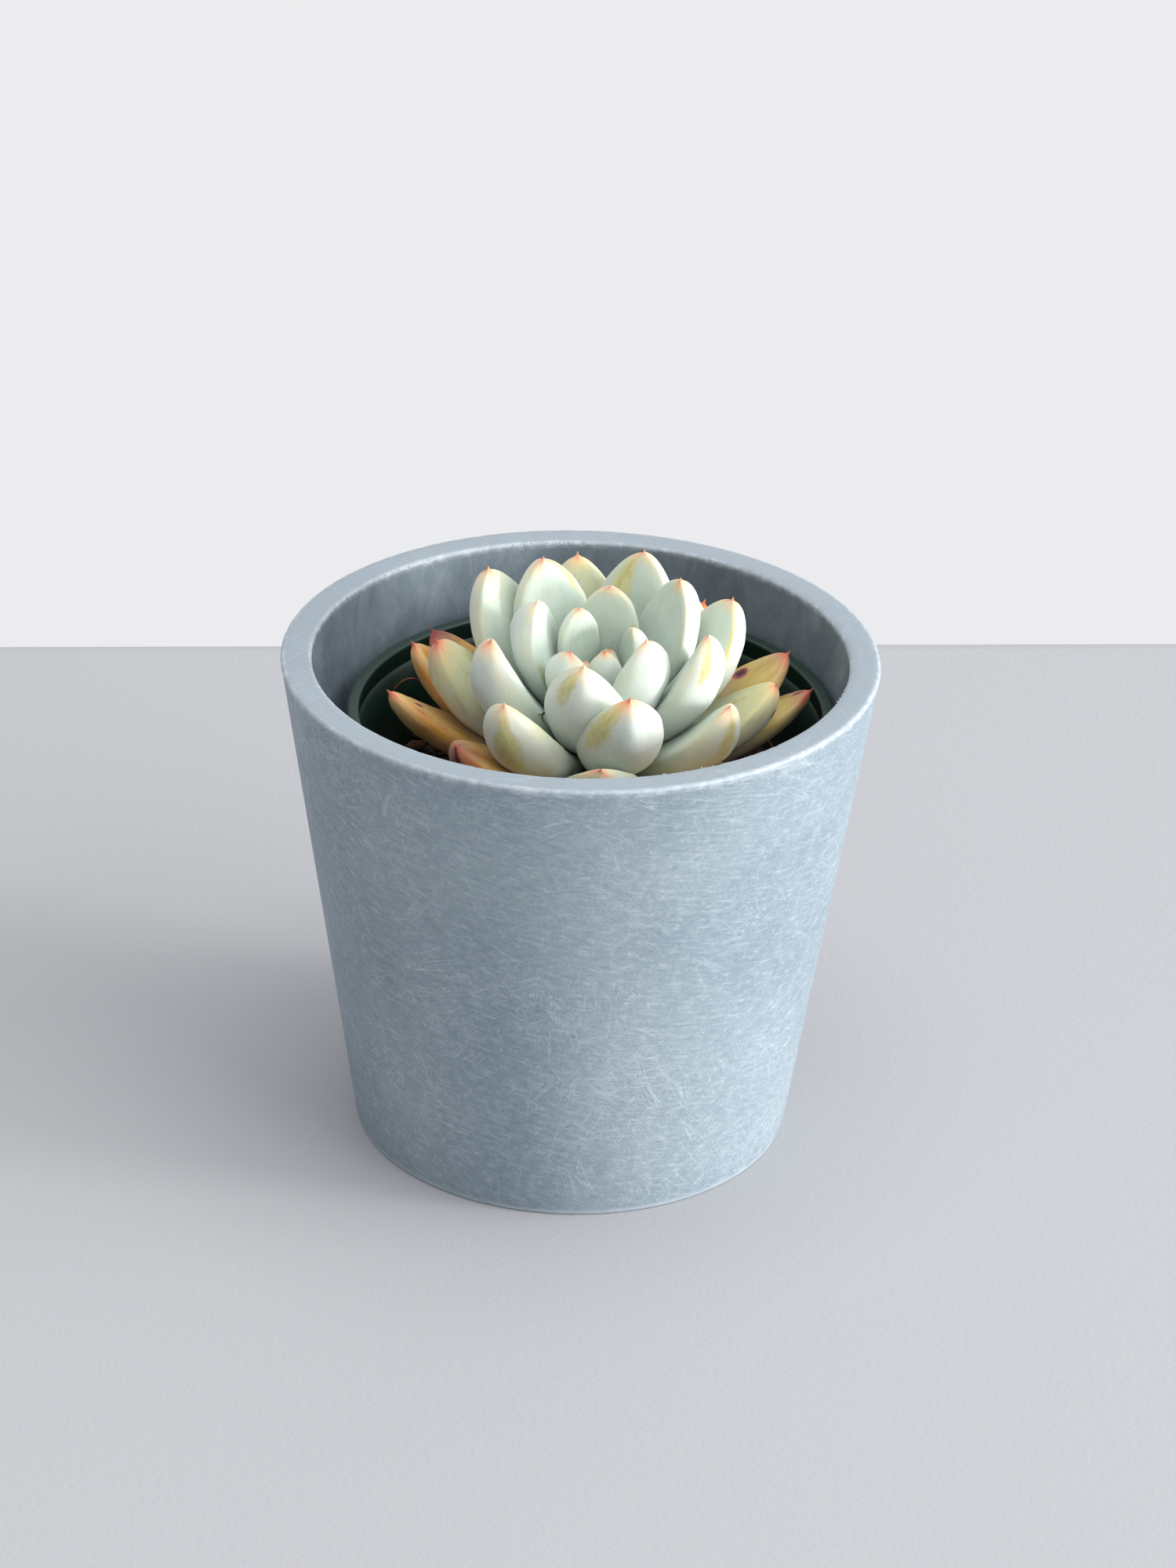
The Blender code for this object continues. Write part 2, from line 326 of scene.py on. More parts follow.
def makeCamera():
    data = bpy.data.cameras.new("viewer")
    data.lens = viewer["lens"]
    data.sensor_width = viewer["sensor"]
    data.clip_start = viewer["nearest"]
    data.clip_end = viewer["farthest"]
    camera = bpy.data.objects.new("viewer", data)
    bpy.context.scene.collection.objects.link(camera)
    yaw, pitch, roll = (viewer[key] for key in ("yaw", "pitch", "roll"))
    forward = Vector((math.sin(yaw) * math.cos(pitch), math.cos(yaw) * math.cos(pitch), -math.sin(pitch)))
    level = Vector((math.cos(yaw), -math.sin(yaw), 0))
    upright = level.cross(forward)
    right = level * math.cos(roll) + upright * math.sin(roll)
    up = upright * math.cos(roll) - level * math.sin(roll)
    camera.rotation_euler = Matrix((right, up, -forward)).transposed().to_euler()
    camera.location = viewer["place"]
    bpy.context.scene.camera = camera
    print("camera placed")


studio = {
    "backdrop": (0.84, 0.84, 0.86, 1),
    "ambient": (0.93, 0.96, 1.0, 1),
    "ambientStrength": 0.74,
    "lamps": {
        "window": {"place": (2.42, -0.88, 1.24), "aim": (0, 0, 0.06), "size": 3.1, "power": 82.0},
        "lowWindow": {"place": (2.6, -0.42, 0.36), "aim": (0, 0, 0.05), "size": 0.62, "power": 70.0},
        "overhead": {"place": (0.10, -0.10, 1.3), "aim": (0, 0, 0.06), "size": 0.9, "power": 5.5},
    },
}
table = {
    "size": (3.0, 2.0, 0.03),
    "backEdge": 0.208,
    "edgeRound": 0.010,
    "turn": math.radians(5.58),
    "colour": (175, 175, 178),
    "clouded": (188, 187, 188),
}


def makeStudio():
    scene = bpy.context.scene
    scene.view_settings.view_transform = "Standard"
    world = bpy.data.worlds.new("studio")
    scene.world = world
    world.use_nodes = True
    graph = Graph(world.node_tree)
    ambient = graph.node("ShaderNodeBackground", None, {"Color": studio["ambient"],
                                                        "Strength": studio["ambientStrength"]})
    backdrop = graph.node("ShaderNodeBackground", None, {"Color": studio["backdrop"]})
    seen = graph.node("ShaderNodeLightPath", output="Is Camera Ray")
    mixed = graph.node("ShaderNodeMixShader", None, {0: seen, 1: ambient, 2: backdrop})
    graph.link(mixed, "ShaderNodeOutputWorld", "Surface")
    for name, lamp in studio["lamps"].items():
        data = bpy.data.lights.new(name, "AREA")
        data.size = lamp["size"]
        data.energy = lamp["power"]
        light = bpy.data.objects.new(name, data)
        light.location = lamp["place"]
        ray = Vector(lamp["aim"]) - Vector(lamp["place"])
        light.rotation_euler = ray.to_track_quat("-Z", "Y").to_euler()
        scene.collection.objects.link(light)
    print("studio ready")


def makeTable():
    depth, thickness = table["size"][1:]
    shape = bmesh.new()
    bmesh.ops.create_cube(shape, size=1.0)
    bmesh.ops.scale(shape, vec=table["size"], verts=shape.verts)
    bmesh.ops.translate(shape, vec=(0, table["backEdge"] - depth / 2, -thickness / 2), verts=shape.verts)
    bmesh.ops.bevel(shape, geom=shape.edges[:], offset=table["edgeRound"], segments=6, affect="EDGES",
                    profile=0.5)
    bmesh.ops.rotate(shape, matrix=Matrix.Rotation(table["turn"], 3, "Z"), verts=shape.verts)
    material, graph = newMaterial("table", {"Specular IOR Level": 0.3})
    place = graph.objectPlace()
    cloud = graph.noise(place, 6.0, 3.0)
    colour = graph.blend(cloud * 0.15, table["colour"], table["clouded"])
    finishShader(graph, colour, 0.55 + cloud * 0.1, graph.noise(place, 900.0), 0.00005)
    addPiece("table", savedMesh("table", shape), material)
    print("table done")


# cachepot
pot = {
    "height": 95.3 * mm,
    "topRadius": 54.9 * mm,
    "footRadius": 40.95 * mm,
    "rimWall": 5.7 * mm,
    "wall": 5.2 * mm,
    "floor": 6.0 * mm,
    "recessRadius": 33.0 * mm,
    "recess": 1.2 * mm,
    "footRound": 0.6 * mm,
    "floorRound": 4.0 * mm,
    "outerRound": 0.7 * mm,
    "innerRound": 0.8 * mm,
    "mouldLine": 1.3 * mm,
    "sides": 640,
    "chips": 70,
    "ripples": 26,
    "scratchSlants": (-71, -52, -36, -14, 5, 24, 38, 57, 83),
    "longSlants": (-38, 24, 71),
}


def potRadius(height):
    return pot["footRadius"] + (pot["topRadius"] - pot["footRadius"]) * height / pot["height"]


def potProfile():
    # half the section, from the underside's middle round the wall to the floor's middle
    top, wall, rimWall = pot["height"], pot["wall"], pot["rimWall"]
    foot, outer, inner = pot["footRound"], pot["outerRound"], pot["innerRound"]
    recess, recessRadius = pot["recess"], pot["recessRadius"]
    points = [(recessRadius * share, recess) for share in (0.0, 0.4, 0.8, 1.0)]
    points += [(recessRadius + recess, 0.0), (pot["footRadius"] - 0.9 * mm, 0.0)]
    points += arcPoints((pot["footRadius"] - foot, foot), foot, -80, -5, 4)
    lowest, highest = 1.6 * mm, top - outer - 0.9 * mm
    heights = [lowest + (highest - lowest) * step / 20 for step in range(21)]
    points += [(potRadius(height), height) for height in heights]
    # a hair-thin mould line runs round just under the rim
    line = top - pot["mouldLine"]
    points += [(potRadius(line) + 0.05 * mm, line), (potRadius(line + 0.2 * mm), line + 0.2 * mm)]
    points += arcPoints((pot["topRadius"] - outer, top - outer), outer, 5, 85, 7)
    points += [(pot["topRadius"] - rimWall * share, top) for share in (0.3, 0.5, 0.7)]
    points += arcPoints((pot["topRadius"] - rimWall + inner, top - inner), inner, 95, 175, 7)
    low, high = pot["floor"] + pot["floorRound"], top - 4 * mm
    heights = [high + (low - high) * step / 16 for step in range(17)]
    points += [(potRadius(height) - wall, height) for height in heights]
    corner = potRadius(low) - wall - pot["floorRound"]
    points += arcPoints((corner, low), pot["floorRound"], -10, -90, 5)
    return points + [(corner * share, pot["floor"]) for share in (0.66, 0.33, 0.0)]


def makeCachepot():
    profile = potProfile()
    dice = random.Random(11)
    top = pot["height"]
    innerEdge = pot["topRadius"] - pot["rimWall"]
    waves = [(dice.randint(3, 90), dice.uniform(0, 6.28), dice.uniform(0.2, 1.0))
             for _ in range(pot["ripples"])]
    chips = [(dice.uniform(0, 2 * math.pi), dice.uniform(0.004, 0.012), dice.uniform(0.05, 0.22))
             for _ in range(pot["chips"])]

    def waver(number, turn):
        # the worn, slightly ragged edges of the rim
        radius, height = profile[number]
        if height < top - 2.2 * mm:
            return (0.0, 0.0)
        nearEdge = max(math.exp(-((radius - innerEdge) / (0.9 * mm)) ** 2),
                       math.exp(-((radius - pot["topRadius"]) / (0.8 * mm)) ** 2))
        ripple = sum(size * math.sin(count * turn + phase) for count, phase, size in waves) / len(waves)
        nick = sum(depth * math.exp(-(((turn - place + math.pi) % (2 * math.pi) - math.pi) / width) ** 2)
                   for place, width, depth in chips)
        drop = (0.06 * ripple - nick * 0.3) * mm * nearEdge
        sunk = min(0.0, drop)
        # the outer edge never swells past the wall
        return (sunk if radius > pot["topRadius"] - pot["rimWall"] / 2 else -drop, sunk)

    mesh = turnedMesh("cachepot_body", profile, pot["sides"], waver)
    settle(addPiece("cachepot_body", mesh, potMaterial()), "cachepot")
    makeRimFlecks()
    print("cachepot done")


def potMaterial():
    material, graph = newMaterial("cachepot_composite", {"Specular IOR Level": 0.45})
    place = graph.objectPlace()
    across, deep, height = graph.parts(place)
    radius = (across * across + deep * deep) ** 0.5
    outerRadius = height * ((pot["topRadius"] - pot["footRadius"]) / pot["height"]) + pot["footRadius"]
    inside = graph.ease(outerRadius - radius, 1.2 * mm, 4.2 * mm) * graph.ease(height, 94.9 * mm, 94.2 * mm)
    rim = graph.ease(height, 94.5 * mm, 95.0 * mm)
    # where the rim's two edges get a painted highlight
    innerEdge = graph.ease(graph.absolute(radius - 49.3 * mm), 0.75 * mm, 0.15 * mm)
    outerEdge = graph.ease(graph.absolute(radius - 54.6 * mm), 0.7 * mm, 0.2 * mm)
    edge = graph.larger(innerEdge, outerEdge) * graph.ease(height, 93.6 * mm, 94.6 * mm)

    cloud = graph.noise(place, 26.0, 4.0, 0.6)
    wisps = graph.noise(graph.mapping(place, (0.5, 0.3, 0.2), (1, 1, 2.6)), 95.0, 4.0, 0.62, 0.6)
    fine = graph.noise(place, 1500.0, 2.0, 0.7)
    grain = graph.noise(place, 480.0, 3.0, 0.65)

    # hair-fine scratches in every direction, drawn on the unrolled wall; its seam is at the back
    turn = graph.arcTangent(across, 0 - deep)
    unrolled = graph.vector(turn * 0.048, height + outerRadius - radius)
    bent = unrolled + (graph.noise(unrolled, 22.0, output="Color") - (0.5, 0.5, 0.5)) * 0.012

    def strokes(slant, layer, length, scale, thinnest, widest):
        # ridges of noise drawn out along one slant
        drawn = graph.mapping(bent, (0, 0, math.radians(slant)), (length, 1, 1),
                              (0.05 * layer, 0.031 * layer, 0))
        return graph.ease(graph.absolute(graph.noise(drawn, scale, 0.0) - 0.5), widest, thinnest)

    scratch = longOnes = 0.0
    for layer, slant in enumerate(pot["scratchSlants"]):
        gate = graph.ease(graph.noise(unrolled + (0.3 * layer, 0.1, 0.0), 44.0, 3.0, 0.6), 0.42, 0.64)
        stroke = strokes(slant, layer, 46, 1050.0 + 90 * layer, 0.002, 0.030) * gate
        scratch = graph.larger(scratch, stroke)
    for layer, slant in enumerate(pot["longSlants"]):
        gate = graph.ease(graph.noise(unrolled + (0.7, 0.2 * layer, 0.0), 38.0, 1.0), 0.56, 0.66)
        stroke = strokes(slant, layer + 9, 90, 420.0, 0.001, 0.012) * gate
        longOnes = graph.larger(longOnes, stroke)
    patches = graph.ease(graph.noise(place, 34.0, 3.0, 0.55), 0.36, 0.66)
    marks = graph.smaller(scratch * (0.35 + 0.65 * patches) + longOnes * 0.6, 1.0)

    bare = graph.blend(graph.ease(cloud, 0.3, 0.7), (119, 134, 144), (134, 148, 156))
    bare = graph.blend(graph.ease(grain, 0.45, 0.75) * 0.35, bare, (162, 175, 183))
    bare = graph.blend(graph.ease(fine, 0.60, 0.72) * 0.30, bare, (200, 211, 218))
    bare = graph.blend(graph.ease(fine, 0.42, 0.30) * 0.25, bare, (112, 130, 144))
    brushed = graph.noise(graph.mapping(unrolled, (0, 0, math.radians(-12)), (5, 1, 1)), 1300.0, 2.0, 0.7)
    bare = graph.blend(graph.ease(brushed, 0.52, 0.70) * 0.32, bare, (176, 188, 196))
    bare = graph.blend(graph.ease(brushed, 0.46, 0.30) * 0.30, bare, (98, 113, 124))
    outer = graph.blend(marks * 0.36, bare, (198, 209, 216))

    streak = graph.noise(graph.mapping(place, (0, 0.1, 0), (1, 1, 2.2)), 110.0, 5.0, 0.68, 1.2)
    inner = graph.blend(graph.ease(streak, 0.30, 0.74), (96, 109, 118), (121, 134, 143))
    inner = graph.blend(graph.ease(wisps, 0.52, 0.74) * 0.5, inner, (152, 163, 171))
    inner = graph.blend(graph.ease(cloud, 0.58, 0.75) * 0.5, inner, (84, 92, 99))
    top = graph.blend(grain * 0.5, (143, 154, 162), (158, 168, 175))
    top = graph.blend(marks * 0.30, top, (186, 194, 200))
    colour = graph.blend(inside, outer, inner)
    colour = graph.blend(rim, colour, top)
    # painted highlight: a pale, patchy line along both rim edges
    colour = graph.blend(edge * (0.1 + 0.35 * graph.ease(grain, 0.4, 0.7)), colour, (204, 212, 218))
    # painted highlight: the lowest 1.5 mm of the wall, round the foot, is painted lighter
    foot = graph.ease(height, 1.5 * mm, 0.5 * mm)
    colour = graph.blend(foot * 0.6, colour, (176, 186, 194))
    roughness = 0.47 + cloud * 0.10 - marks * 0.06 + inside * 0.06
    relief = grain * 0.5 + fine * 0.3 + marks * 0.5
    finishShader(graph, colour, roughness, relief, 0.00006, 0.6)
    return material


flecks = {
    "count": 230,
    "size": 0.21 * mm,
    "edges": {
        "rim_flecks_inner": {"Radius": pot["topRadius"] - pot["rimWall"] + 0.12 * mm,
                             "Height": pot["height"] - 0.22 * mm, "Seed": 4},
        "rim_flecks_outer": {"Radius": pot["topRadius"] - 0.35 * mm,
                             "Height": pot["height"] - 0.25 * mm, "Seed": 9},
    },
}


def makeRimFlecks():
    # crumbs of worn composite that cling to both edges of the rim
    tree, graph, inputs = treeWith("rimFleckTree", ("Radius", "Height", "Fleck Size"), ("Count", "Seed"))
    circle = graph.node("GeometryNodeCurvePrimitiveCircle", None, {
        "Resolution": 180, "Radius": inputs["Radius"]})
    points = graph.node("GeometryNodeCurveToPoints", {"mode": "COUNT"}, {
        "Curve": circle, "Count": inputs["Count"]})
    jitter = graph.randomVector((-0.0016, -0.0016, -0.00022), (0.0016, 0.0016, 0.00004), inputs["Seed"])
    moved = graph.node("GeometryNodeSetPosition", None, {"Geometry": points, "Offset": jitter})
    # back onto the circle, so that the jitter runs along the edge only
    place = graph.node("GeometryNodeInputPosition")
    east, north, up = graph.parts(place)
    shrink = inputs["Radius"] / (east * east + north * north) ** 0.5
    onEdge = graph.vector(east * shrink, north * shrink, up + inputs["Height"])
    moved = graph.node("GeometryNodeSetPosition", None, {"Geometry": moved, "Position": onEdge})
    thin = graph.node("FunctionNodeCompare", {"operation": "LESS_THAN"}, {
        0: graph.noise(place, 60.0), 1: 0.52})
    kept = graph.node("GeometryNodeDeleteGeometry", {"domain": "POINT"}, {
        "Geometry": moved, "Selection": thin})
    crumb = graph.node("GeometryNodeMeshIcoSphere", None, {"Radius": inputs["Fleck Size"], "Subdivisions": 1})
    placed = graph.node("GeometryNodeInstanceOnPoints", None, {
        "Points": kept, "Instance": crumb,
        "Rotation": graph.randomVector((0, 0, 0), (6.28, 6.28, 6.28), 3),
        "Scale": graph.randomVector((0.25, 0.25, 0.2), (1.5, 0.9, 0.7), 5)})
    closeTree(graph, placed, inputs["Material"])

    material, graph = newMaterial("rim_fleck", {})
    shade = graph.noise(graph.objectPlace(), 900.0)
    colour = graph.blend(shade, (176, 187, 195), (206, 213, 218))
    finishShader(graph, colour, 0.6 + shade * 0.1, shade, 0.00004)
    for name, edge in flecks["edges"].items():
        values = {**edge, "Count": flecks["count"], "Fleck Size": flecks["size"], "Material": material}
        settle(growPiece(name, tree, values), None)


# nursery pot
nursery = {
    "centre": (2.0 * mm, 0.6 * mm),
    "bottom": 6.3 * mm,
    "top": 84.0 * mm,
    "topRadius": 43.6 * mm,
    "footRadius": 30.5 * mm,
    "wall": 1.0 * mm,
    "lip": 1.3 * mm,
    "lipHeight": 4.0 * mm,
    "lipRound": 0.55 * mm,
    "footRound": 1.5 * mm,
    "hoop": 0.35 * mm,
    "sides": 192,
    "drainHoles": 6,
    "drainRadius": 3.5 * mm,
    "drainCircle": 20.0 * mm,
}


def nurseryRadius(height):
    rise = (height - nursery["bottom"]) / (nursery["top"] - nursery["bottom"])
    return nursery["footRadius"] + (nursery["topRadius"] - nursery["footRadius"]) * rise


def nurseryProfile():
    bottom, top, wall, lip = (nursery[key] for key in ("bottom", "top", "wall", "lip"))
    foot, footRound, lipRound = (nursery[key] for key in ("footRadius", "footRound", "lipRound"))
    lipFoot = top - nursery["lipHeight"]
    lipRadius = nurseryRadius(lipFoot)
    points = [(foot * share, bottom) for share in (0.0, 0.3, 0.7)]
    points += arcPoints((foot - footRound, bottom + footRound), footRound, -90, -8, 5)
    for step in range(1, 20):
        height = bottom + 2 * mm + (lipFoot - bottom - 3 * mm) * step / 19
        # two shallow hoops stiffen the wall
        hoop = nursery["hoop"] if step in (6, 13) else 0.0
        points.append((nurseryRadius(height) + hoop, height))
    points += [(lipRadius, lipFoot - 0.4 * mm), (lipRadius + lip * 0.8, lipFoot),
               (lipRadius + lip, lipFoot + 0.3 * mm)]
    points += arcPoints((nursery["topRadius"] + lip - lipRound, top - lipRound), lipRound, 0, 90, 5)
    points += arcPoints((nursery["topRadius"] - wall + lipRound, top - lipRound), lipRound, 90, 180, 5)
    # the lip's step shows on the inner side too
    points += [(lipRadius - wall + 0.9 * mm, lipFoot + 0.3 * mm),
               (lipRadius - wall + 0.1 * mm, lipFoot - 0.4 * mm)]
    for step in range(1, 15):
        height = lipFoot - 1 * mm + (bottom + 3 * mm - lipFoot) * step / 15
        points.append((nurseryRadius(height) - wall, height))
    floorHeight = bottom + wall
    points += [(nurseryRadius(floorHeight) - wall - 0.5 * mm, floorHeight)]
    return points + [(foot * share, floorHeight) for share in (0.8, 0.4, 0.0)]


def makeNurseryPot():
    mesh = turnedMesh("nursery_pot_shell", nurseryProfile(), nursery["sides"])
    piece = addPiece("nursery_pot_shell", mesh, nurseryMaterial())
    drills = []
    for number in range(nursery["drainHoles"]):
        turn = 2 * math.pi * number / nursery["drainHoles"]
        centre = (nursery["drainCircle"] * math.cos(turn), nursery["drainCircle"] * math.sin(turn))
        shape = bmesh.new()
        bmesh.ops.create_cone(shape, cap_ends=True, segments=24, radius1=nursery["drainRadius"],
                              radius2=nursery["drainRadius"], depth=6 * mm)
        bmesh.ops.translate(shape, verts=shape.verts, vec=(*centre, nursery["bottom"]))
        drills.append(addPiece("drain_drill", savedMesh("drain_drill", shape)))
        hole = piece.modifiers.new("drain", "BOOLEAN")
        hole.operation = "DIFFERENCE"
        hole.object = drills[-1]
    drilled = plainMesh(piece)
    piece.modifiers.clear()
    piece.data = drilled
    for drill in drills:
        bpy.data.objects.remove(drill)
    moveMesh(drilled, nursery["centre"])
    drilled.shade_smooth()
    drilled.set_sharp_from_angle(angle=math.radians(50))
    settle(piece, "nursery_pot")
    print("nursery pot done")


def nurseryMaterial():
    material, graph = newMaterial("nursery_plastic", {"Specular IOR Level": 0.5})
    place = graph.objectPlace()
    height = graph.parts(place)[2]
    cloud = graph.noise(place, 40.0, 3.0)
    fine = graph.noise(place, 700.0, 2.0)
    colour = graph.blend(cloud, (8, 34, 25), (12, 44, 33))
    # painted highlight: a faint pale line along the top of the lip
    paintedLipHighlight = graph.ease(height, nursery["top"] - 0.9 * mm, nursery["top"] - 0.1 * mm)
    colour = graph.blend(paintedLipHighlight * 0.2, colour, (72, 92, 86))
    # peat dust on the wall above the mix
    dust = graph.ease(height, 76 * mm, 66 * mm) * graph.ease(graph.noise(place, 160.0, 3.0, 0.6), 0.35, 0.7)
    colour = graph.blend(dust * 0.7, colour, (34, 28, 22))
    scuff = graph.ease(graph.noise(graph.mapping(place, (0.4, 0.8, 0), (1, 1, 12)), 500.0, 1.0), 0.66, 0.74)
    colour = graph.blend(scuff * 0.25, colour, (44, 66, 58))
    finishShader(graph, colour, 0.38 + cloud * 0.12 + dust * 0.3, fine * 0.4 + dust, 0.00006, 0.6)
    return material


# potting mix
mix = {"top": 66.0 * mm, "sides": 96, "rings": 26, "lumps": 150}
grains = {
    "peat_crumbs": {
        "values": {"Density": 420000.0, "Grain Size": 0.75 * mm, "Long": 1.1, "Sink": 0.1 * mm, "Seed": 1},
        "colours": ((22, 17, 13), (48, 36, 27), (78, 60, 45)),
    },
    "bark_chips": {
        "values": {"Density": 60000.0, "Grain Size": 1.25 * mm, "Long": 1.9, "Sink": 0.4 * mm, "Seed": 2},
        "colours": ((44, 27, 18), (84, 52, 33), (120, 84, 58)),
    },
    "perlite": {
        "values": {"Density": 14000.0, "Grain Size": 0.95 * mm, "Long": 1.0, "Sink": 0.4 * mm, "Seed": 3},
        "colours": ((150, 146, 136), (196, 192, 182), (222, 219, 210)),
    },
}


def makePottingMix():
    bottom = nursery["bottom"] + nursery["wall"] + 0.3 * mm
    low = nurseryRadius(bottom) - nursery["wall"] - 0.9 * mm
    high = nurseryRadius(mix["top"]) - nursery["wall"] - 0.5 * mm
    dice = random.Random(5)
    bumps = [(dice.uniform(-high, high), dice.uniform(-high, high), dice.uniform(1.2, 3.2) * mm,
              dice.uniform(-0.5, 0.9) * mm) for _ in range(mix["lumps"])]
    points = [(low * share, bottom) for share in (0.0, 0.5, 1.0)]
    points += [(low + (high - low) * step / 6, bottom + (mix["top"] - bottom) * step / 6)
               for step in range(1, 6)]
    firstTop = len(points)
    points += [(high * (1 - step / mix["rings"]), mix["top"]) for step in range(mix["rings"])]
    points.append((0.0, mix["top"]))

    def waver(number, turn):
        if number < firstTop:
            return (0.0, 0.0)
        radius = points[number][0]
        across, deep = radius * math.cos(turn), radius * math.sin(turn)
        rise = sum(size * math.exp(-((across - x) ** 2 + (deep - y) ** 2) / width ** 2)
                   for x, y, width, size in bumps)
        return (0.0, max(-1.2 * mm, min(1.6 * mm, rise)))

    mesh = turnedMesh("potting_mix_body", points, mix["sides"], waver)
    moveMesh(mesh, nursery["centre"])
    body = addPiece("potting_mix_body", mesh, mixMaterial("peat", (26, 21, 17), (52, 41, 32), (84, 68, 54)))
    settle(body, "potting_mix")

    tree = makeGrainTree()
    for name, grain in grains.items():
        values = {"Material": mixMaterial(name, *grain["colours"]), **grain["values"]}
        settle(growPiece(name, tree, values, topOf(mesh, high)), None)
    print("potting mix done")


def makeGrainTree():
    # lumpy grains of one kind, strewn over a surface and half sunk in it
    tree, graph, inputs = treeWith("grainTree", ("Density", "Grain Size", "Long", "Sink"), ("Seed",))
    scattered = graph.node("GeometryNodeDistributePointsOnFaces", {"distribute_method": "RANDOM"},
                           {"Mesh": inputs["Geometry"], "Density": inputs["Density"], "Seed": inputs["Seed"]})
    crumb = graph.node("GeometryNodeMeshIcoSphere", None, {"Radius": inputs["Grain Size"], "Subdivisions": 2})
    place = graph.node("GeometryNodeInputPosition")
    lumps = graph.noise(place / inputs["Grain Size"], 0.9, 1.0, output="Color")
    push = (lumps - (0.5, 0.5, 0.5)) * (inputs["Grain Size"] * 1.5)
    rough = graph.node("GeometryNodeSetPosition", None, {"Geometry": crumb, "Offset": push})

    def randomNumber(low, high, seed):
        return graph.node("FunctionNodeRandomValue", {"data_type": "FLOAT"},
                          {2: low, 3: high, "Seed": seed}, 1)

    wide = randomNumber(0.4, 1.3, 22)
    tall = randomNumber(0.35, 0.9, 23)
    placed = graph.node("GeometryNodeInstanceOnPoints", None, {
        "Points": scattered, "Instance": rough,
        "Rotation": graph.randomVector((0, 0, 0), (6.28, 6.28, 6.28), 21),
        "Scale": graph.vector(wide * inputs["Long"], wide, wide * tall)})
    lowered = graph.node("GeometryNodeTranslateInstances", None, {
        "Instances": placed, "Translation": graph.vector(z=inputs["Sink"]), "Local Space": False})
    closeTree(graph, lowered, inputs["Material"])
    return tree


def topOf(mesh, high):
    # the upper face of the mix alone, a little inside its edge, for the grains to lie on
    shape = bmesh.new()
    shape.from_mesh(mesh)
    centre = Vector((*nursery["centre"], 0))
    for face in list(shape.faces):
        middle = face.calc_center_median()
        away = (middle - centre).xy.length
        if middle.z < mix["top"] - 3 * mm or away > high - 1.2 * mm or away < 5 * mm:
            shape.faces.remove(face)
    return savedMesh("mix_top", shape)


def mixMaterial(name, dark, middle, pale):
    material, graph = newMaterial(name, {"Specular IOR Level": 0.25})
    place = graph.objectPlace()
    cloud = graph.noise(place, 300.0, 4.0, 0.6)
    fibre = graph.noise(graph.mapping(place, (0.6, 0.4, 0.9), (1, 1, 6)), 1600.0, 2.0)
    colour = graph.blend(graph.ease(cloud, 0.3, 0.65), dark, middle)
    colour = graph.blend(graph.ease(fibre, 0.58, 0.74) * 0.6, colour, pale)
    finishShader(graph, colour, 0.85 + cloud * 0.1, cloud + fibre * 0.5, 0.0002, 0.9)
    return material


# the rosette's frame and stem
rosette = {
    "axis": (3.3 * mm, -0.75 * mm, 0.0),
    "pivot": 80.0 * mm,
    "lean": math.radians(10.3),
    "sideLean": math.radians(0.8),
    "stemRadius": 4.4 * mm,
    "stemTop": 88.0 * mm,
    "rootTip": 48.0 * mm,
}


def leanedPoint(point):
    # from the upright rosette to its leaning place in the pot
    lean, side = rosette["lean"], rosette["sideLean"]
    across, deep, height = point[0], point[1], point[2] - rosette["pivot"]
    deep, height = (deep * math.cos(lean) - height * math.sin(lean),
                    deep * math.sin(lean) + height * math.cos(lean))
    across, height = (across * math.cos(side) + height * math.sin(side),
                      height * math.cos(side) - across * math.sin(side))
    return Vector((across + rosette["axis"][0], deep + rosette["axis"][1], height + rosette["pivot"]))


def makeStem():
    dice = random.Random(3)
    tip, top, thick = rosette["rootTip"], rosette["stemTop"], rosette["stemRadius"]
    points = [(0.0, tip)]
    for step in range(1, 40):
        share = step / 40
        height = tip + (top - tip) * share
        radius = thick * (0.35 + 0.65 * min(1.0, share * 2.1)) * (1 - max(0.0, share - 0.86) ** 1.5 * 14)
        # rings of old leaf scars
        radius += 0.16 * mm * math.sin(share * 95)
        points.append((max(radius, 0.4 * mm), height))
    points.append((0.0, top))
    phases = [dice.uniform(0, 6.28) for _ in points]

    def waver(number, turn):
        return (0.22 * mm * math.sin(3 * turn + phases[number] * 0.3 + number * 0.4)
                + 0.1 * mm * math.sin(9 * turn + phases[number]), 0.0)

    mesh = turnedMesh("stem_bark", points, 48, waver)
    for vertex in mesh.vertices:
        vertex.co = leanedPoint(vertex.co)
    material, graph = newMaterial("stem_bark", {"Specular IOR Level": 0.3})
    place = graph.objectPlace()
    rings = graph.noise(graph.mapping(place, (0, 0, 0), (3, 3, 1)), 500.0, 3.0, 0.6)
    cloud = graph.noise(place, 260.0, 3.0)
    colour = graph.blend(graph.ease(rings, 0.4, 0.65), (92, 78, 52), (150, 140, 98))
    colour = graph.blend(graph.ease(cloud, 0.5, 0.7) * 0.6, colour, (120, 128, 84))
    finishShader(graph, colour, 0.75 + cloud * 0.1, rings + cloud * 0.4, 0.0002, 0.8)
    settle(addPiece("stem_bark", mesh, material), "stem")
    print("stem done")


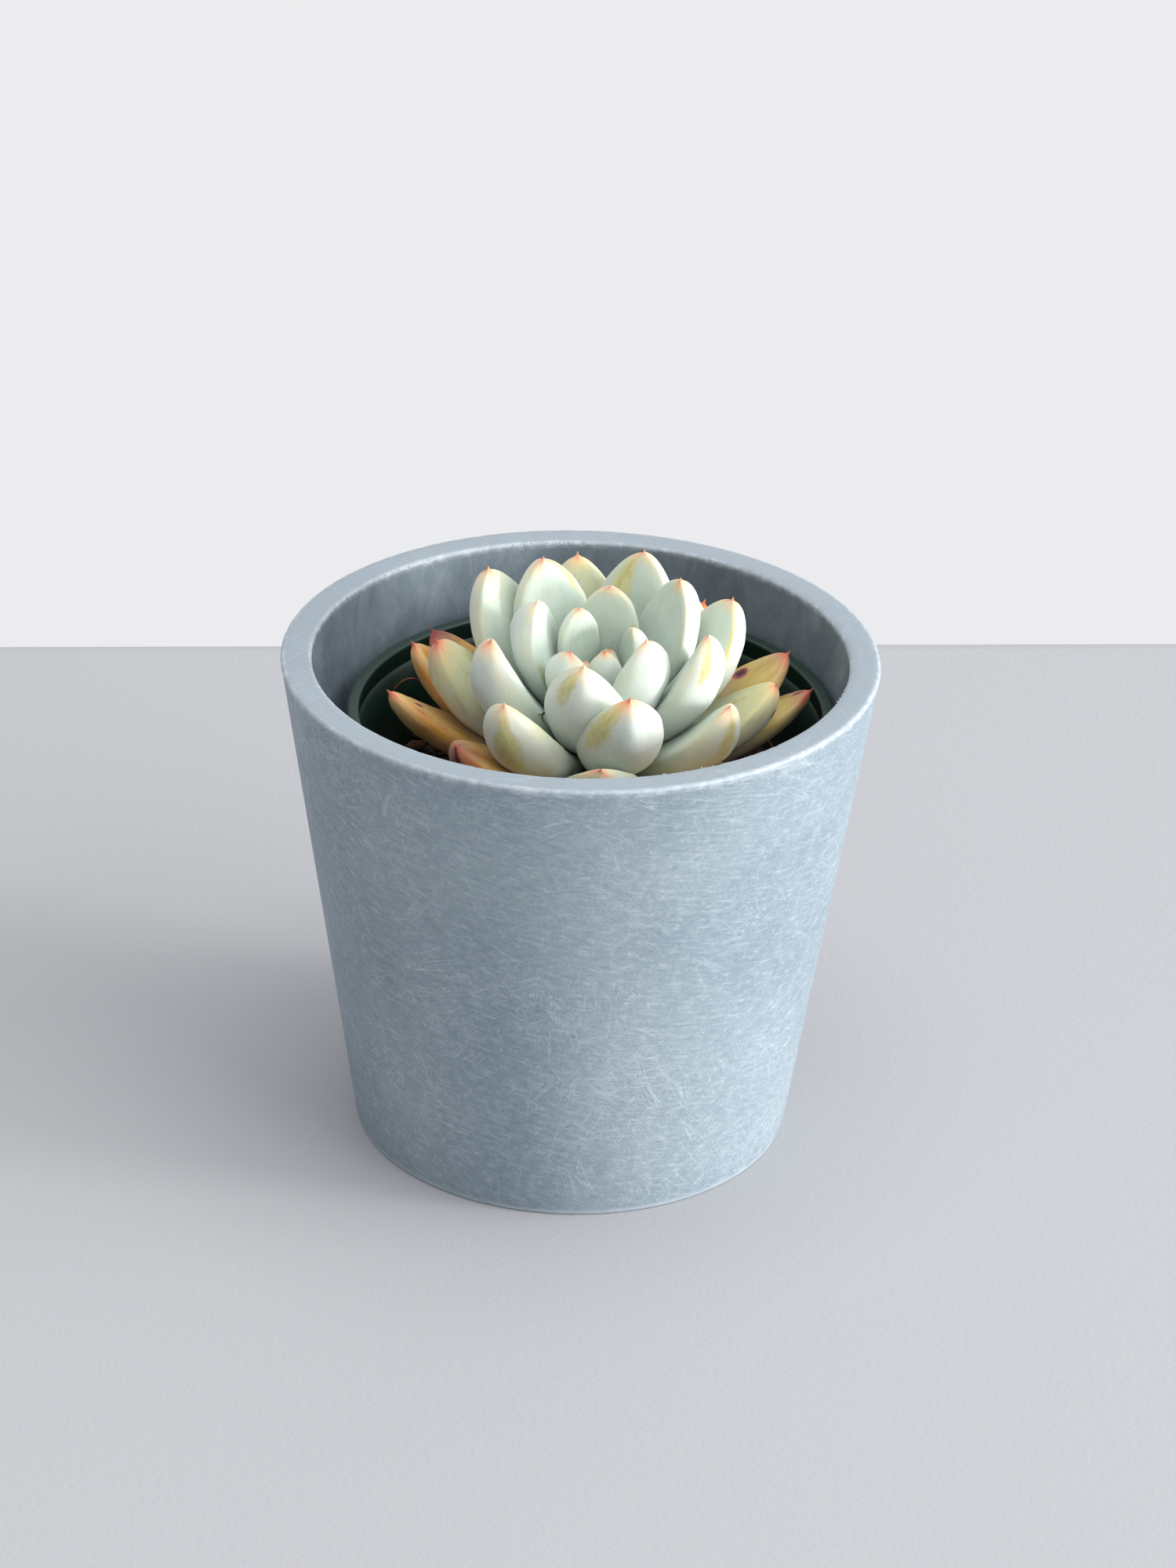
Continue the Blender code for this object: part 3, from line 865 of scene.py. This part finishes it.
# leaves
leaves = {
    "count": 38,
    "goldenAngle": 137.508,
    "firstTurn": 279.0,
    "rings": 52,
    "sides": 44,
    "bud": {"Twist": 0.0, "Wrinkle": 0.0, "Age": 0.0, "Blush": 1.2, "Dark": 0.0},
    "dry": {"Twist": 0.5, "Wrinkle": 1.3 * mm, "Age": 1.0, "Blush": 0.0, "Dark": 1.0},
    # (leaf number, value) pairs in millimetres and degrees, youngest first
    "reach": ((0, 4.3), (4, 9.8), (8, 18.0), (12, 22.6), (16, 27.9), (20, 29.4), (28, 38.2), (37, 39.5)),
    "tip": ((0, 101.5), (4, 106.0), (8, 108.3), (12, 106.4), (16, 102.5), (20, 95.4), (28, 89.4), (37, 84.8)),
    "foot": ((0, 88.0), (8, 81.0), (13, 77.5), (20, 74.6), (37, 71.0)),
    "bend": ((0, 25.0), (6, 46.0), (16, 50.0), (24, 46.0), (37, 36.0)),
    "width": ((0, 6.5), (1, 8.6), (4, 11.6), (8, 14.8), (12, 15.6), (20, 14.6), (37, 13.6)),
    "thickness": ((0, 3.2), (4, 5.2), (8, 7.4), (16, 7.6), (20, 6.4), (37, 4.0)),
    "turnNudge": {
        0: 5, 1: -7, 2: 15, 3: 6, 4: -6, 5: 4, 6: -5, 7: -2, 8: 4, 9: 5, 12: 3, 13: -6, 14: -6, 15: 10,
        16: -4, 18: 4, 19: -9, 20: 7, 21: 2, 22: -8, 23: 4, 24: 4, 27: -4, 28: -5, 31: -13, 32: -12,
        36: 3,
    },
    "reachNudge": {2: -1, 6: -2, 7: 1, 19: 1, 31: -3, 36: 1},
    "tipNudge": {1: 2, 2: -1.5, 3: -2, 5: 1, 7: 1, 14: 2, 19: 1, 25: -6, 30: -4, 31: 2, 32: 3, 34: -3, 36: 1},
}

# how far gone each leaf is (0 fresh, 1 ochre); the others follow their number
leafAge = {
    16: 0.24, 17: 0.34, 19: 0.40, 20: 0.42, 22: 0.75, 23: 0.44, 24: 0.85, 25: 0.8, 26: 0.7, 27: 0.86,
    28: 0.70, 29: 0.7, 30: 0.85, 31: 0.82, 32: 0.9, 33: 0.9, 34: 0.95, 35: 0.95, 36: 0.69, 37: 1.0,
}
# how red and how dark single tips are
leafBlush = {
    0: 1.3, 2: 0.6, 6: 0.7, 8: 0.8, 13: 1.2, 16: 0.9, 19: 1.3, 22: 1.4, 27: 1.1, 28: 1.5, 33: 1.5,
    35: 1.6, 36: 1.6,
}
leafDark = {19: 0.25, 24: 0.75, 28: 0.5, 30: 0.6, 31: 0.6, 35: 0.95, 36: 0.6}
# rubbed places: share of length, angle round the leaf in degrees, length and width in millimetres;
# 270 degrees is the middle of the outer face
leafRub = {
    8: (0.90, 235, 3.6, 2.6), 13: (0.86, 205, 6.0, 2.8), 11: (0.56, 262, 3.4, 1.0),
    16: (0.84, 285, 6.5, 2.6), 6: (0.42, 30, 4.6, 0.8), 4: (0.62, 150, 1.6, 1.2),
    14: (0.70, 262, 5.0, 1.2), 23: (0.78, 300, 6.5, 2.6), 19: (0.62, 310, 6.0, 1.6),
    10: (0.88, 215, 3.4, 1.6), 18: (0.86, 245, 4.4, 1.8), 15: (0.80, 170, 5.0, 1.0),
    21: (0.8, 250, 4.0, 2.4), 12: (0.82, 60, 5.0, 2.2), 9: (0.86, 150, 3.6, 1.4),
}
# bruises: the same four numbers
leafBruise = {
    28: (0.74, 60, 1.3, 1.3), 24: (0.955, 300, 1.5, 1.4), 32: (0.84, 70, 0.9, 0.7),
    23: (0.86, 250, 0.9, 0.6), 31: (0.96, 270, 1.6, 2.2), 18: (0.6, 270, 0.4, 0.3),
    36: (0.93, 80, 1.2, 1.2),
}

# the bud in the heart: tiny folded leaves, innermost last
budLeaves = (
    {"turn": 56, "start": 0.5, "foot": 88.0,
     "reach": 3.0, "tip": 97.0, "bend": 20, "width": 5.0, "thickness": 2.6},
    {"turn": 194, "start": 0.4, "foot": 88.0,
     "reach": 2.3, "tip": 96.2, "bend": 16, "width": 4.2, "thickness": 2.2},
    {"turn": 331, "start": 0.3, "foot": 88.0,
     "reach": 1.6, "tip": 95.4, "bend": 12, "width": 3.4, "thickness": 1.9},
    {"turn": 109, "start": 0.2, "foot": 88.0,
     "reach": 0.9, "tip": 94.6, "bend": 8, "width": 2.8, "thickness": 1.6},
)

# old leaves that turn over sideways, in degrees at the tip
leafTwist = {22: 16, 27: 26, 32: 34, 28: -10, 36: -20}

witheredLeaves = (
    {"turn": 197, "start": 13.0, "foot": 68.2,
     "reach": 36.5, "tip": 78.5, "bend": 20, "width": 9.0, "thickness": 1.4},
    {"turn": 94, "start": 12.0, "foot": 66.6,
     "reach": 33.0, "tip": 69.0, "bend": 18, "width": 8.0, "thickness": 1.3},
    {"turn": 318, "start": 14.0, "foot": 70.2,
     "reach": 34.0, "tip": 77.0, "bend": 16, "width": 8.5, "thickness": 1.3},
)


def along(pairs, position):
    for (left, low), (right, high) in zip(pairs, pairs[1:]):
        if position <= right:
            return low + (high - low) * (position - left) / (right - left)
    return pairs[-1][1]


def makeLeafTree():
    # one leaf: a tube of rings along an arc, narrow at the foot, broad in the shoulder, with a soft point
    tree, graph, inputs = treeWith("leafTree", (
        "Turn", "Start", "Foot", "Reach", "Tip", "Bend", "Width", "Thickness", "Twist", "Wrinkle", "Keel",
        "Age", "Blush", "Dark", "Seed", "Rub Along", "Rub Side", "Rub Length", "Rub Width",
        "Bruise Along", "Bruise Side", "Bruise Length", "Bruise Width"), ("Sides", "Rings"))
    tube = graph.node("GeometryNodeMeshCylinder", {"fill_type": "NONE"}, {
        "Vertices": inputs["Sides"], "Side Segments": inputs["Rings"], "Radius": 1.0, "Depth": 1.0})
    place = graph.node("GeometryNodeInputPosition")
    east, north, rise = graph.parts(place)
    # where each corner is: its share of the length, and its angle round the leaf
    share = 0.5 - graph.cosine((rise + 0.5) * math.pi) * 0.5
    tube = savedAs(graph, tube, "along", share)
    tube = savedAs(graph, tube, "side", graph.arcTangent(north, east))
    share, angle = (graph.node("GeometryNodeInputNamedAttribute", {"data_type": "FLOAT"}, {"Name": name})
                    for name in ("along", "side"))

    # the spine
    run = inputs["Reach"] - inputs["Start"]
    climb = inputs["Tip"] - inputs["Foot"]
    chord = (run * run + climb * climb) ** 0.5
    slope = graph.arcTangent(climb, run) - inputs["Bend"] * 0.5
    radius = chord * 0.5 / graph.sine(inputs["Bend"] * 0.5)
    aim = slope + inputs["Bend"] * share
    out = inputs["Start"] + radius * (graph.sine(aim) - graph.sine(slope))
    up = inputs["Foot"] + radius * (graph.cosine(slope) - graph.cosine(aim))

    # the outline
    body = graph.smaller(share / 0.972, 1.0)
    left = 1 - share
    sharpEnd = graph.larger(left, 0.0)
    footEnd = graph.smaller(share * 30, 1.0)
    foot = left * left * left * footEnd ** 0.5
    shoulder = graph.larger(graph.sine(body ** 1.4 * math.pi), 0.0) ** 0.6
    fullness = graph.larger(graph.sine(body ** 1.3 * math.pi), 0.0) ** 0.5
    point = graph.smaller(sharpEnd / 0.05, 1.0) ** 0.75 * footEnd * 0.00042
    halfWidth = ((inputs["Width"] * 0.5 * shoulder + foot * 0.0018) ** 2 + point * point) ** 0.5
    depth = ((inputs["Thickness"] * fullness + foot * 0.002) ** 2 + point * point * 3) ** 0.5

    # the section: a flat, slightly hollow inner face, a full outer face with a keel towards the tip
    cosine = graph.cosine(angle)
    sine = graph.sine(angle)
    inner = graph.larger(sine, 0.0) ** 0.8
    outer = graph.larger(0 - sine, 0.0)
    keel = outer ** 6 * inputs["Keel"] * graph.ease(share, 0.45, 0.85) * depth
    hollow = cosine * cosine * graph.sine(share * math.pi) * halfWidth * (0.13 - inputs["Age"] * 0.11)
    shift = inner * depth * (0.27 + inputs["Age"] * 0.2) - outer ** 0.85 * depth * 0.73 - keel + hollow
    across = halfWidth * cosine

    # slow swells, and wrinkles on the old ones
    drift = graph.vector(cosine * 0.8, share * 3.0, sine * 0.8 + inputs["Seed"])
    swell = graph.noise(drift, 1.1) - 0.5
    crease = graph.noise(drift, 5.0, 3.0) - 0.5
    between = graph.smaller(share * 8, 1.0) * graph.smaller(sharpEnd * 12, 1.0)
    shift = shift * (1 + swell * 0.28 * between) + crease * inputs["Wrinkle"] * between
    across = across * (1 + swell * 0.16 * between)

    twist = inputs["Twist"] * share
    turnedAcross = across * graph.cosine(twist) - shift * graph.sine(twist)
    turnedShift = across * graph.sine(twist) + shift * graph.cosine(twist)

    east = graph.cosine(inputs["Turn"])
    north = graph.sine(inputs["Turn"])
    reach = out - turnedShift * graph.sine(aim)
    place = graph.vector(east * reach - north * turnedAcross, north * reach + east * turnedAcross,
                         up + turnedShift * graph.cosine(aim) - rosette["pivot"])
    shaped = graph.node("GeometryNodeSetPosition", None, {"Geometry": tube, "Position": place})
    leaned = graph.node("GeometryNodeTransform", None, {
        "Geometry": shaped,
        "Rotation": (rosette["lean"], rosette["sideLean"], 0.0),
        "Translation": (rosette["axis"][0], rosette["axis"][1], rosette["pivot"])})
    closed = graph.node("GeometryNodeMergeByDistance", None, {"Geometry": leaned, "Distance": 2e-6})

    def mark(kind):
        # 1 in the middle of a marked place, fading to 0 at twice its size
        lengthwise = (share - inputs[kind + " Along"]) * chord / inputs[kind + " Length"]
        turnAway = graph.maths("ARCCOSINE", graph.cosine(angle - inputs[kind + " Side"]) * 0.9999)
        crosswise = turnAway * inputs["Width"] * 0.42 / inputs[kind + " Width"]
        return graph.ease((lengthwise * lengthwise + crosswise * crosswise) ** 0.5, 2.0, 0.2)

    saved = {"across": cosine, "face": sine, "rub": mark("Rub"), "bruise": mark("Bruise"),
             **{key.lower(): inputs[key] for key in ("Age", "Blush", "Dark", "Seed")}}
    for name, value in saved.items():
        closed = savedAs(graph, closed, name, value)
    closeTree(graph, closed, inputs["Material"])
    return tree


def marks(kind, given):
    # one rubbed place or bruise; a leaf without one gets a speck too small to see
    share, side, length, width = given or (0.5, 0.0, 0.01, 0.01)
    return {kind + " Along": share, kind + " Side": math.radians(side), kind + " Length": length * mm,
            kind + " Width": width * mm}


def makeLeaves():
    tree = makeLeafTree()
    fleshy = leafMaterial()
    papery = witheredMaterial()
    dice = random.Random(8)
    counts = {"Sides": leaves["sides"], "Rings": leaves["rings"]}
    last = leaves["count"] - 1

    for number in range(leaves["count"]):
        node = f"leaf_{number + 1:02d}"
        size = {key: along(leaves[key], number)
                for key in ("foot", "reach", "tip", "bend", "width", "thickness")}
        turn = leaves["firstTurn"] - leaves["goldenAngle"] * number + leaves["turnNudge"].get(number, 0)
        values = {
            "Turn": math.radians(turn),
            "Start": rosette["stemRadius"] - 0.6 * mm,
            "Foot": size["foot"] * mm,
            "Reach": (size["reach"] + leaves["reachNudge"].get(number, 0)) * mm,
            "Tip": (size["tip"] + leaves["tipNudge"].get(number, 0)) * mm,
            "Bend": math.radians(size["bend"]),
            "Width": size["width"] * mm,
            "Thickness": size["thickness"] * mm,
            "Twist": math.radians(dice.uniform(-7, 7) + leafTwist.get(number, 0)),
            "Wrinkle": 0.1 * mm + 1.0 * mm * max(0.0, number / last - 0.6),
            "Keel": 0.10 + 0.10 * dice.random(),
            "Age": leafAge.get(number, 0.012 * number),
            "Blush": leafBlush.get(number, 1.0),
            "Dark": leafDark.get(number, 0.0),
            "Seed": 3.7 * number + 0.5,
            "Material": fleshy,
            **counts, **marks("Rub", leafRub.get(number)), **marks("Bruise", leafBruise.get(number)),
        }
        settle(growPiece(node + "_flesh", tree, values), node)

    small = [(f"bud_leaf_{number + 1}", given, None) for number, given in enumerate(budLeaves)]
    small += [(f"withered_leaf_{number + 1}_skin", given, f"withered_leaf_{number + 1}")
              for number, given in enumerate(witheredLeaves)]
    for number, (name, given, node) in enumerate(small):
        looks = leaves["dry"] if node else leaves["bud"]
        values = {
            "Turn": math.radians(given["turn"]),
            "Bend": math.radians(given["bend"]),
            "Seed": 91.0 + number,
            "Keel": 0.0,
            "Material": papery if node else fleshy,
            **{key: given[key.lower()] * mm
               for key in ("Start", "Foot", "Reach", "Tip", "Width", "Thickness")},
            **looks, **counts, **marks("Rub", None), **marks("Bruise", None),
        }
        settle(growPiece(name, tree, values), node)
    print("leaves done")


def leafMaterial():
    material, graph = newMaterial("leaf_flesh", {
        "Subsurface Weight": 0.22, "Subsurface Scale": 0.0022, "Subsurface Radius": (1.0, 1.0, 0.6),
        "Specular IOR Level": 0.35, "Sheen Weight": 0.12, "Sheen Roughness": 0.5})
    place = graph.objectPlace()
    share, cosine, face, age, blush, dark, seed, rub, bruise = (graph.attribute(name) for name in (
        "along", "across", "face", "age", "blush", "dark", "seed", "rub", "bruise"))
    local = graph.vector(cosine * 0.8, share * 2.4, seed + face * 0.8)

    slow = graph.noise(local, 1.6, 3.0)
    cloud = graph.noise(local, 3.8, 4.0, 0.6)
    streaks = graph.noise(graph.vector(cosine * 4.5, share * 2.0, seed), 2.2, 4.0, 0.6)
    fine = graph.noise(place, 1400.0, 2.0, 0.6)
    grain = graph.noise(place, 520.0, 3.0, 0.6)
    old = graph.ease(age, 0.55, 0.85)
    ripe = graph.ease(age, 0.1, 0.5)
    margin = graph.ease(cosine * cosine, 0.55, 1.0)
    inner = graph.ease(face, -0.45, 0.55)
    upper = graph.ease(share, 0.35, 0.95)

    # flesh under the bloom
    flesh = graph.blend(inner, (182, 188, 142), (160, 178, 146))
    flesh = graph.blend(ripe, flesh, (186, 176, 100))
    ochre = graph.blend(graph.ease(streaks, 0.35, 0.65), (208, 146, 42), (178, 112, 30))
    flesh = graph.blend(old * (0.45 + upper * 0.55), flesh, ochre)
    # powdery bloom, thicker on the outer face, thinner at the foot and on old leaves
    bloomColour = graph.blend(inner, (217, 224, 223), (206, 218, 212))
    bloomColour = graph.blend(old, bloomColour, (178, 170, 170))
    bloom = 0.86 - graph.ease(share, 0.45, 0.05) * 0.30 * (1 - old * 0.8)
    bloom = bloom - inner * 0.16 - ripe * (0.14 + upper * 0.22)
    bloom = bloom - old * (0.10 + graph.ease(share + (slow - 0.5) * 0.6, 0.46, 0.84) * 0.64)
    bloom = bloom - graph.ease(cloud, 0.52, 0.72) * (0.10 + ripe * 0.34 + old * 0.1)
    bloom = graph.larger(bloom + (slow - 0.5) * 0.2 + (streaks - 0.5) * 0.35 + (grain - 0.5) * 0.25, 0.0)
    colour = graph.blend(bloom, flesh, bloomColour)

    # warm margins and shoulders
    warm = margin * upper * 0.24 + graph.ease(share, 0.56, 0.96) * (0.14 + ripe * 0.4)
    warm = warm * graph.ease(slow, 0.30, 0.62)
    colour = graph.blend(graph.smaller(warm, 1.0), colour, (214, 205, 142))
    pinkEdge = margin * graph.ease(share, 0.3, 0.8) * graph.ease(streaks, 0.45, 0.7) * 0.22
    colour = graph.blend(pinkEdge, colour, (236, 200, 182))

    # rubbed places show the olive flesh
    ragged = graph.ease(rub + (cloud - 0.5) * 1.1 + (grain - 0.5) * 0.9, 0.36, 0.86)
    rubColour = graph.blend(graph.ease(cloud, 0.4, 0.62), (190, 182, 98), (212, 202, 140))
    colour = graph.blend(ragged * graph.ease(rub, 0.02, 0.2) * 0.8, colour, rubColour)
    speckles = graph.ease(graph.noise(local, 12.0, 3.0, 0.65), 0.66, 0.74) * (0.25 + ripe * 0.45)
    speckleColour = graph.blend(old, (178, 172, 104), (160, 96, 40))
    colour = graph.blend(speckles * 0.9, colour, speckleColour)

    # the tip: cream, then peach, then red
    tipPlace = share + (slow - 0.5) * 0.10 + (blush - 1.0) * 0.04 + old * 0.012
    glow = graph.smaller(blush, 1.0)
    redness = graph.ease(graph.noise(graph.vector(z=seed), 1.0), 0.4, 0.6)
    tipRed = graph.blend(redness, (204, 58, 62), (226, 112, 70))
    colour = graph.blend(graph.ease(tipPlace, 0.885, 0.97) * 0.50, colour, (232, 196, 142))
    colour = graph.blend(graph.ease(tipPlace, 0.94, 0.99) * 0.72 * glow, colour, (232, 146, 112))
    colour = graph.blend(graph.ease(tipPlace, 0.972, 1.0) * 0.85 * glow, colour, tipRed)
    darkTip = graph.ease(share + (cloud - 0.5) * 0.12, 0.80, 0.97) * dark
    colour = graph.blend(darkTip * 0.9, colour, (112, 40, 56))

    # bruises: a purple halo round a brown middle
    ring = bruise + (cloud - 0.5) * 0.35
    colour = graph.blend(graph.ease(ring, 0.2, 0.6) * graph.ease(bruise, 0.01, 0.1), colour, (148, 62, 86))
    colour = graph.blend(graph.ease(ring, 0.62, 0.85), colour, (66, 30, 38))
    # brown speckles and streaks on the old ones
    stain = graph.ease(streaks + (grain - 0.5) * 0.7, 0.56, 0.78) * old * graph.ease(share, 0.35, 0.7)
    colour = graph.blend(stain * 0.75, colour, (140, 74, 34))
    colour = graph.blend(old * margin * upper * 0.3, colour, (200, 104, 36))
    # painted shade: a darker green deep in the rosette, where the leaf meets the stem
    colour = graph.blend(graph.ease(share, 0.22, 0.02) * 0.45, colour, (150, 160, 104))
    dust = graph.ease(graph.cells(place, 300.0), 0.10, 0.05) * graph.ease(graph.noise(place, 90.0), 0.58, 0.7)
    colour = graph.blend(dust * 0.5, colour, (120, 104, 84))

    bare = graph.smaller(ragged * rub + old * 0.4 + speckles * 0.3, 1.0)
    roughness = 0.62 - bare * 0.16 + (cloud - 0.5) * 0.1
    relief = grain * 0.35 + fine * 0.25 + streaks * old * 1.6
    relief = relief - ragged * rub * 0.3 - graph.ease(ring, 0.4, 0.8) * 1.5
    finishShader(graph, colour, roughness, relief, 0.00012, 0.55)
    return material


def witheredMaterial():
    material, graph = newMaterial("withered_skin", {"Specular IOR Level": 0.3})
    share, cosine, seed = (graph.attribute(name) for name in ("along", "across", "seed"))
    veins = graph.noise(graph.vector(cosine * 6.0, share * 3.0, seed), 2.0, 4.0, 0.65)
    place = graph.objectPlace()
    cloud = graph.noise(place, 220.0, 3.0)
    colour = graph.blend(graph.ease(veins, 0.35, 0.65), (96, 52, 34), (164, 104, 66))
    colour = graph.blend(graph.ease(cloud, 0.55, 0.7) * 0.6, colour, (196, 150, 110))
    finishShader(graph, colour, 0.7 + cloud * 0.15, veins + cloud * 0.4, 0.0003, 0.9)
    return material


# roots and the dried flower scrap
def smoothPath(points, steps=8):
    # a smooth curve through a few given points
    made = []
    ends = [points[0], *points, points[-1]]
    for before, one, two, after in zip(ends, ends[1:], ends[2:], ends[3:]):
        before, one, two, after = map(Vector, (before, one, two, after))
        for step in range(steps):
            t = step / steps
            bow = 2 * before - 5 * one + 4 * two - after
            flex = 3 * one - before - 3 * two + after
            made.append(0.5 * (2 * one + (two - before) * t + bow * t ** 2 + flex * t ** 3))
    made.append(Vector(points[-1]))
    return made


def strandMesh(name, strands, thickness):
    # round strands that thin out towards their far ends
    curve = bpy.data.curves.new(name, "CURVE")
    curve.dimensions = "3D"
    curve.bevel_depth = thickness
    curve.bevel_resolution = 2
    curve.use_fill_caps = True
    for strand in strands:
        path = smoothPath([tuple(value * mm for value in point) for point in strand])
        spline = curve.splines.new("POLY")
        spline.points.add(len(path) - 1)
        for number, point in enumerate(path):
            spline.points[number].co = (*point, 1)
            spline.points[number].radius = 1.0 - 0.6 * number / len(path)
    holder = addPiece(name, curve)
    mesh = plainMesh(holder)
    bpy.data.objects.remove(holder)
    mesh.shade_smooth()
    return mesh


# routes in millimetres: the roots climb out of the mix, the scrap lies between two leaves
strandKinds = {
    "root_fibres": {
        "slot": "stem",
        "thickness": 0.24 * mm,
        "colours": ((92, 44, 26), (150, 84, 52)),
        "routes": (
            ((-30, 20, 67), (-33, 22, 74), (-36.5, 19, 79), (-39, 13, 79.5), (-39.5, 6, 75), (-37.5, 0, 68)),
            ((-22, 27, 66.5), (-27, 25, 72), (-31, 22, 77.5), (-34, 20, 78.5), (-37, 17, 76)),
            ((-31, -6, 66.5), (-34, -2, 70), (-36, 3, 72.5), (-36, 9, 70), (-33, 14, 66.5)),
            ((30, 20, 66.5), (34, 16, 71), (36, 10, 72), (36, 3, 69), (34, -2, 66.5)),
            ((8, 30, 66.5), (4, 34, 70), (-2, 36, 71), (-8, 35, 68)),
        ),
    },
    "flower_scrap": {
        "slot": "withered_leaf",
        "thickness": 0.16 * mm,
        "colours": ((40, 26, 22), (92, 62, 46)),
        "routes": (
            ((-7.6, -16.6, 90.0), (-6.8, -16.0, 90.4), (-6.2, -15.4, 90.2)),
            ((-6.2, -15.4, 90.2), (-5.6, -15.5, 91.0), (-5.0, -15.9, 91.6)),
            ((-6.2, -15.4, 90.2), (-6.0, -16.0, 89.6), (-5.6, -16.9, 89.2)),
            ((-6.2, -15.4, 90.2), (-5.5, -14.9, 90.3), (-4.9, -14.4, 90.0)),
        ),
    },
}


def makeStrands():
    for name, kind in strandKinds.items():
        material, graph = newMaterial(name, {"Specular IOR Level": 0.3})
        cloud = graph.noise(graph.objectPlace(), 420.0, 3.0)
        colour = graph.blend(graph.ease(cloud, 0.35, 0.65), *kind["colours"])
        finishShader(graph, colour, 0.7 + cloud * 0.1, cloud, 0.0001)
        mesh = strandMesh(name, kind["routes"], kind["thickness"])
        settle(addPiece(name, mesh, material), None)
    print("roots and scrap done")


makeCamera()
makeStudio()
makeTable()
makeCachepot()
makeNurseryPot()
makePottingMix()
makeStem()
makeLeaves()
makeStrands()
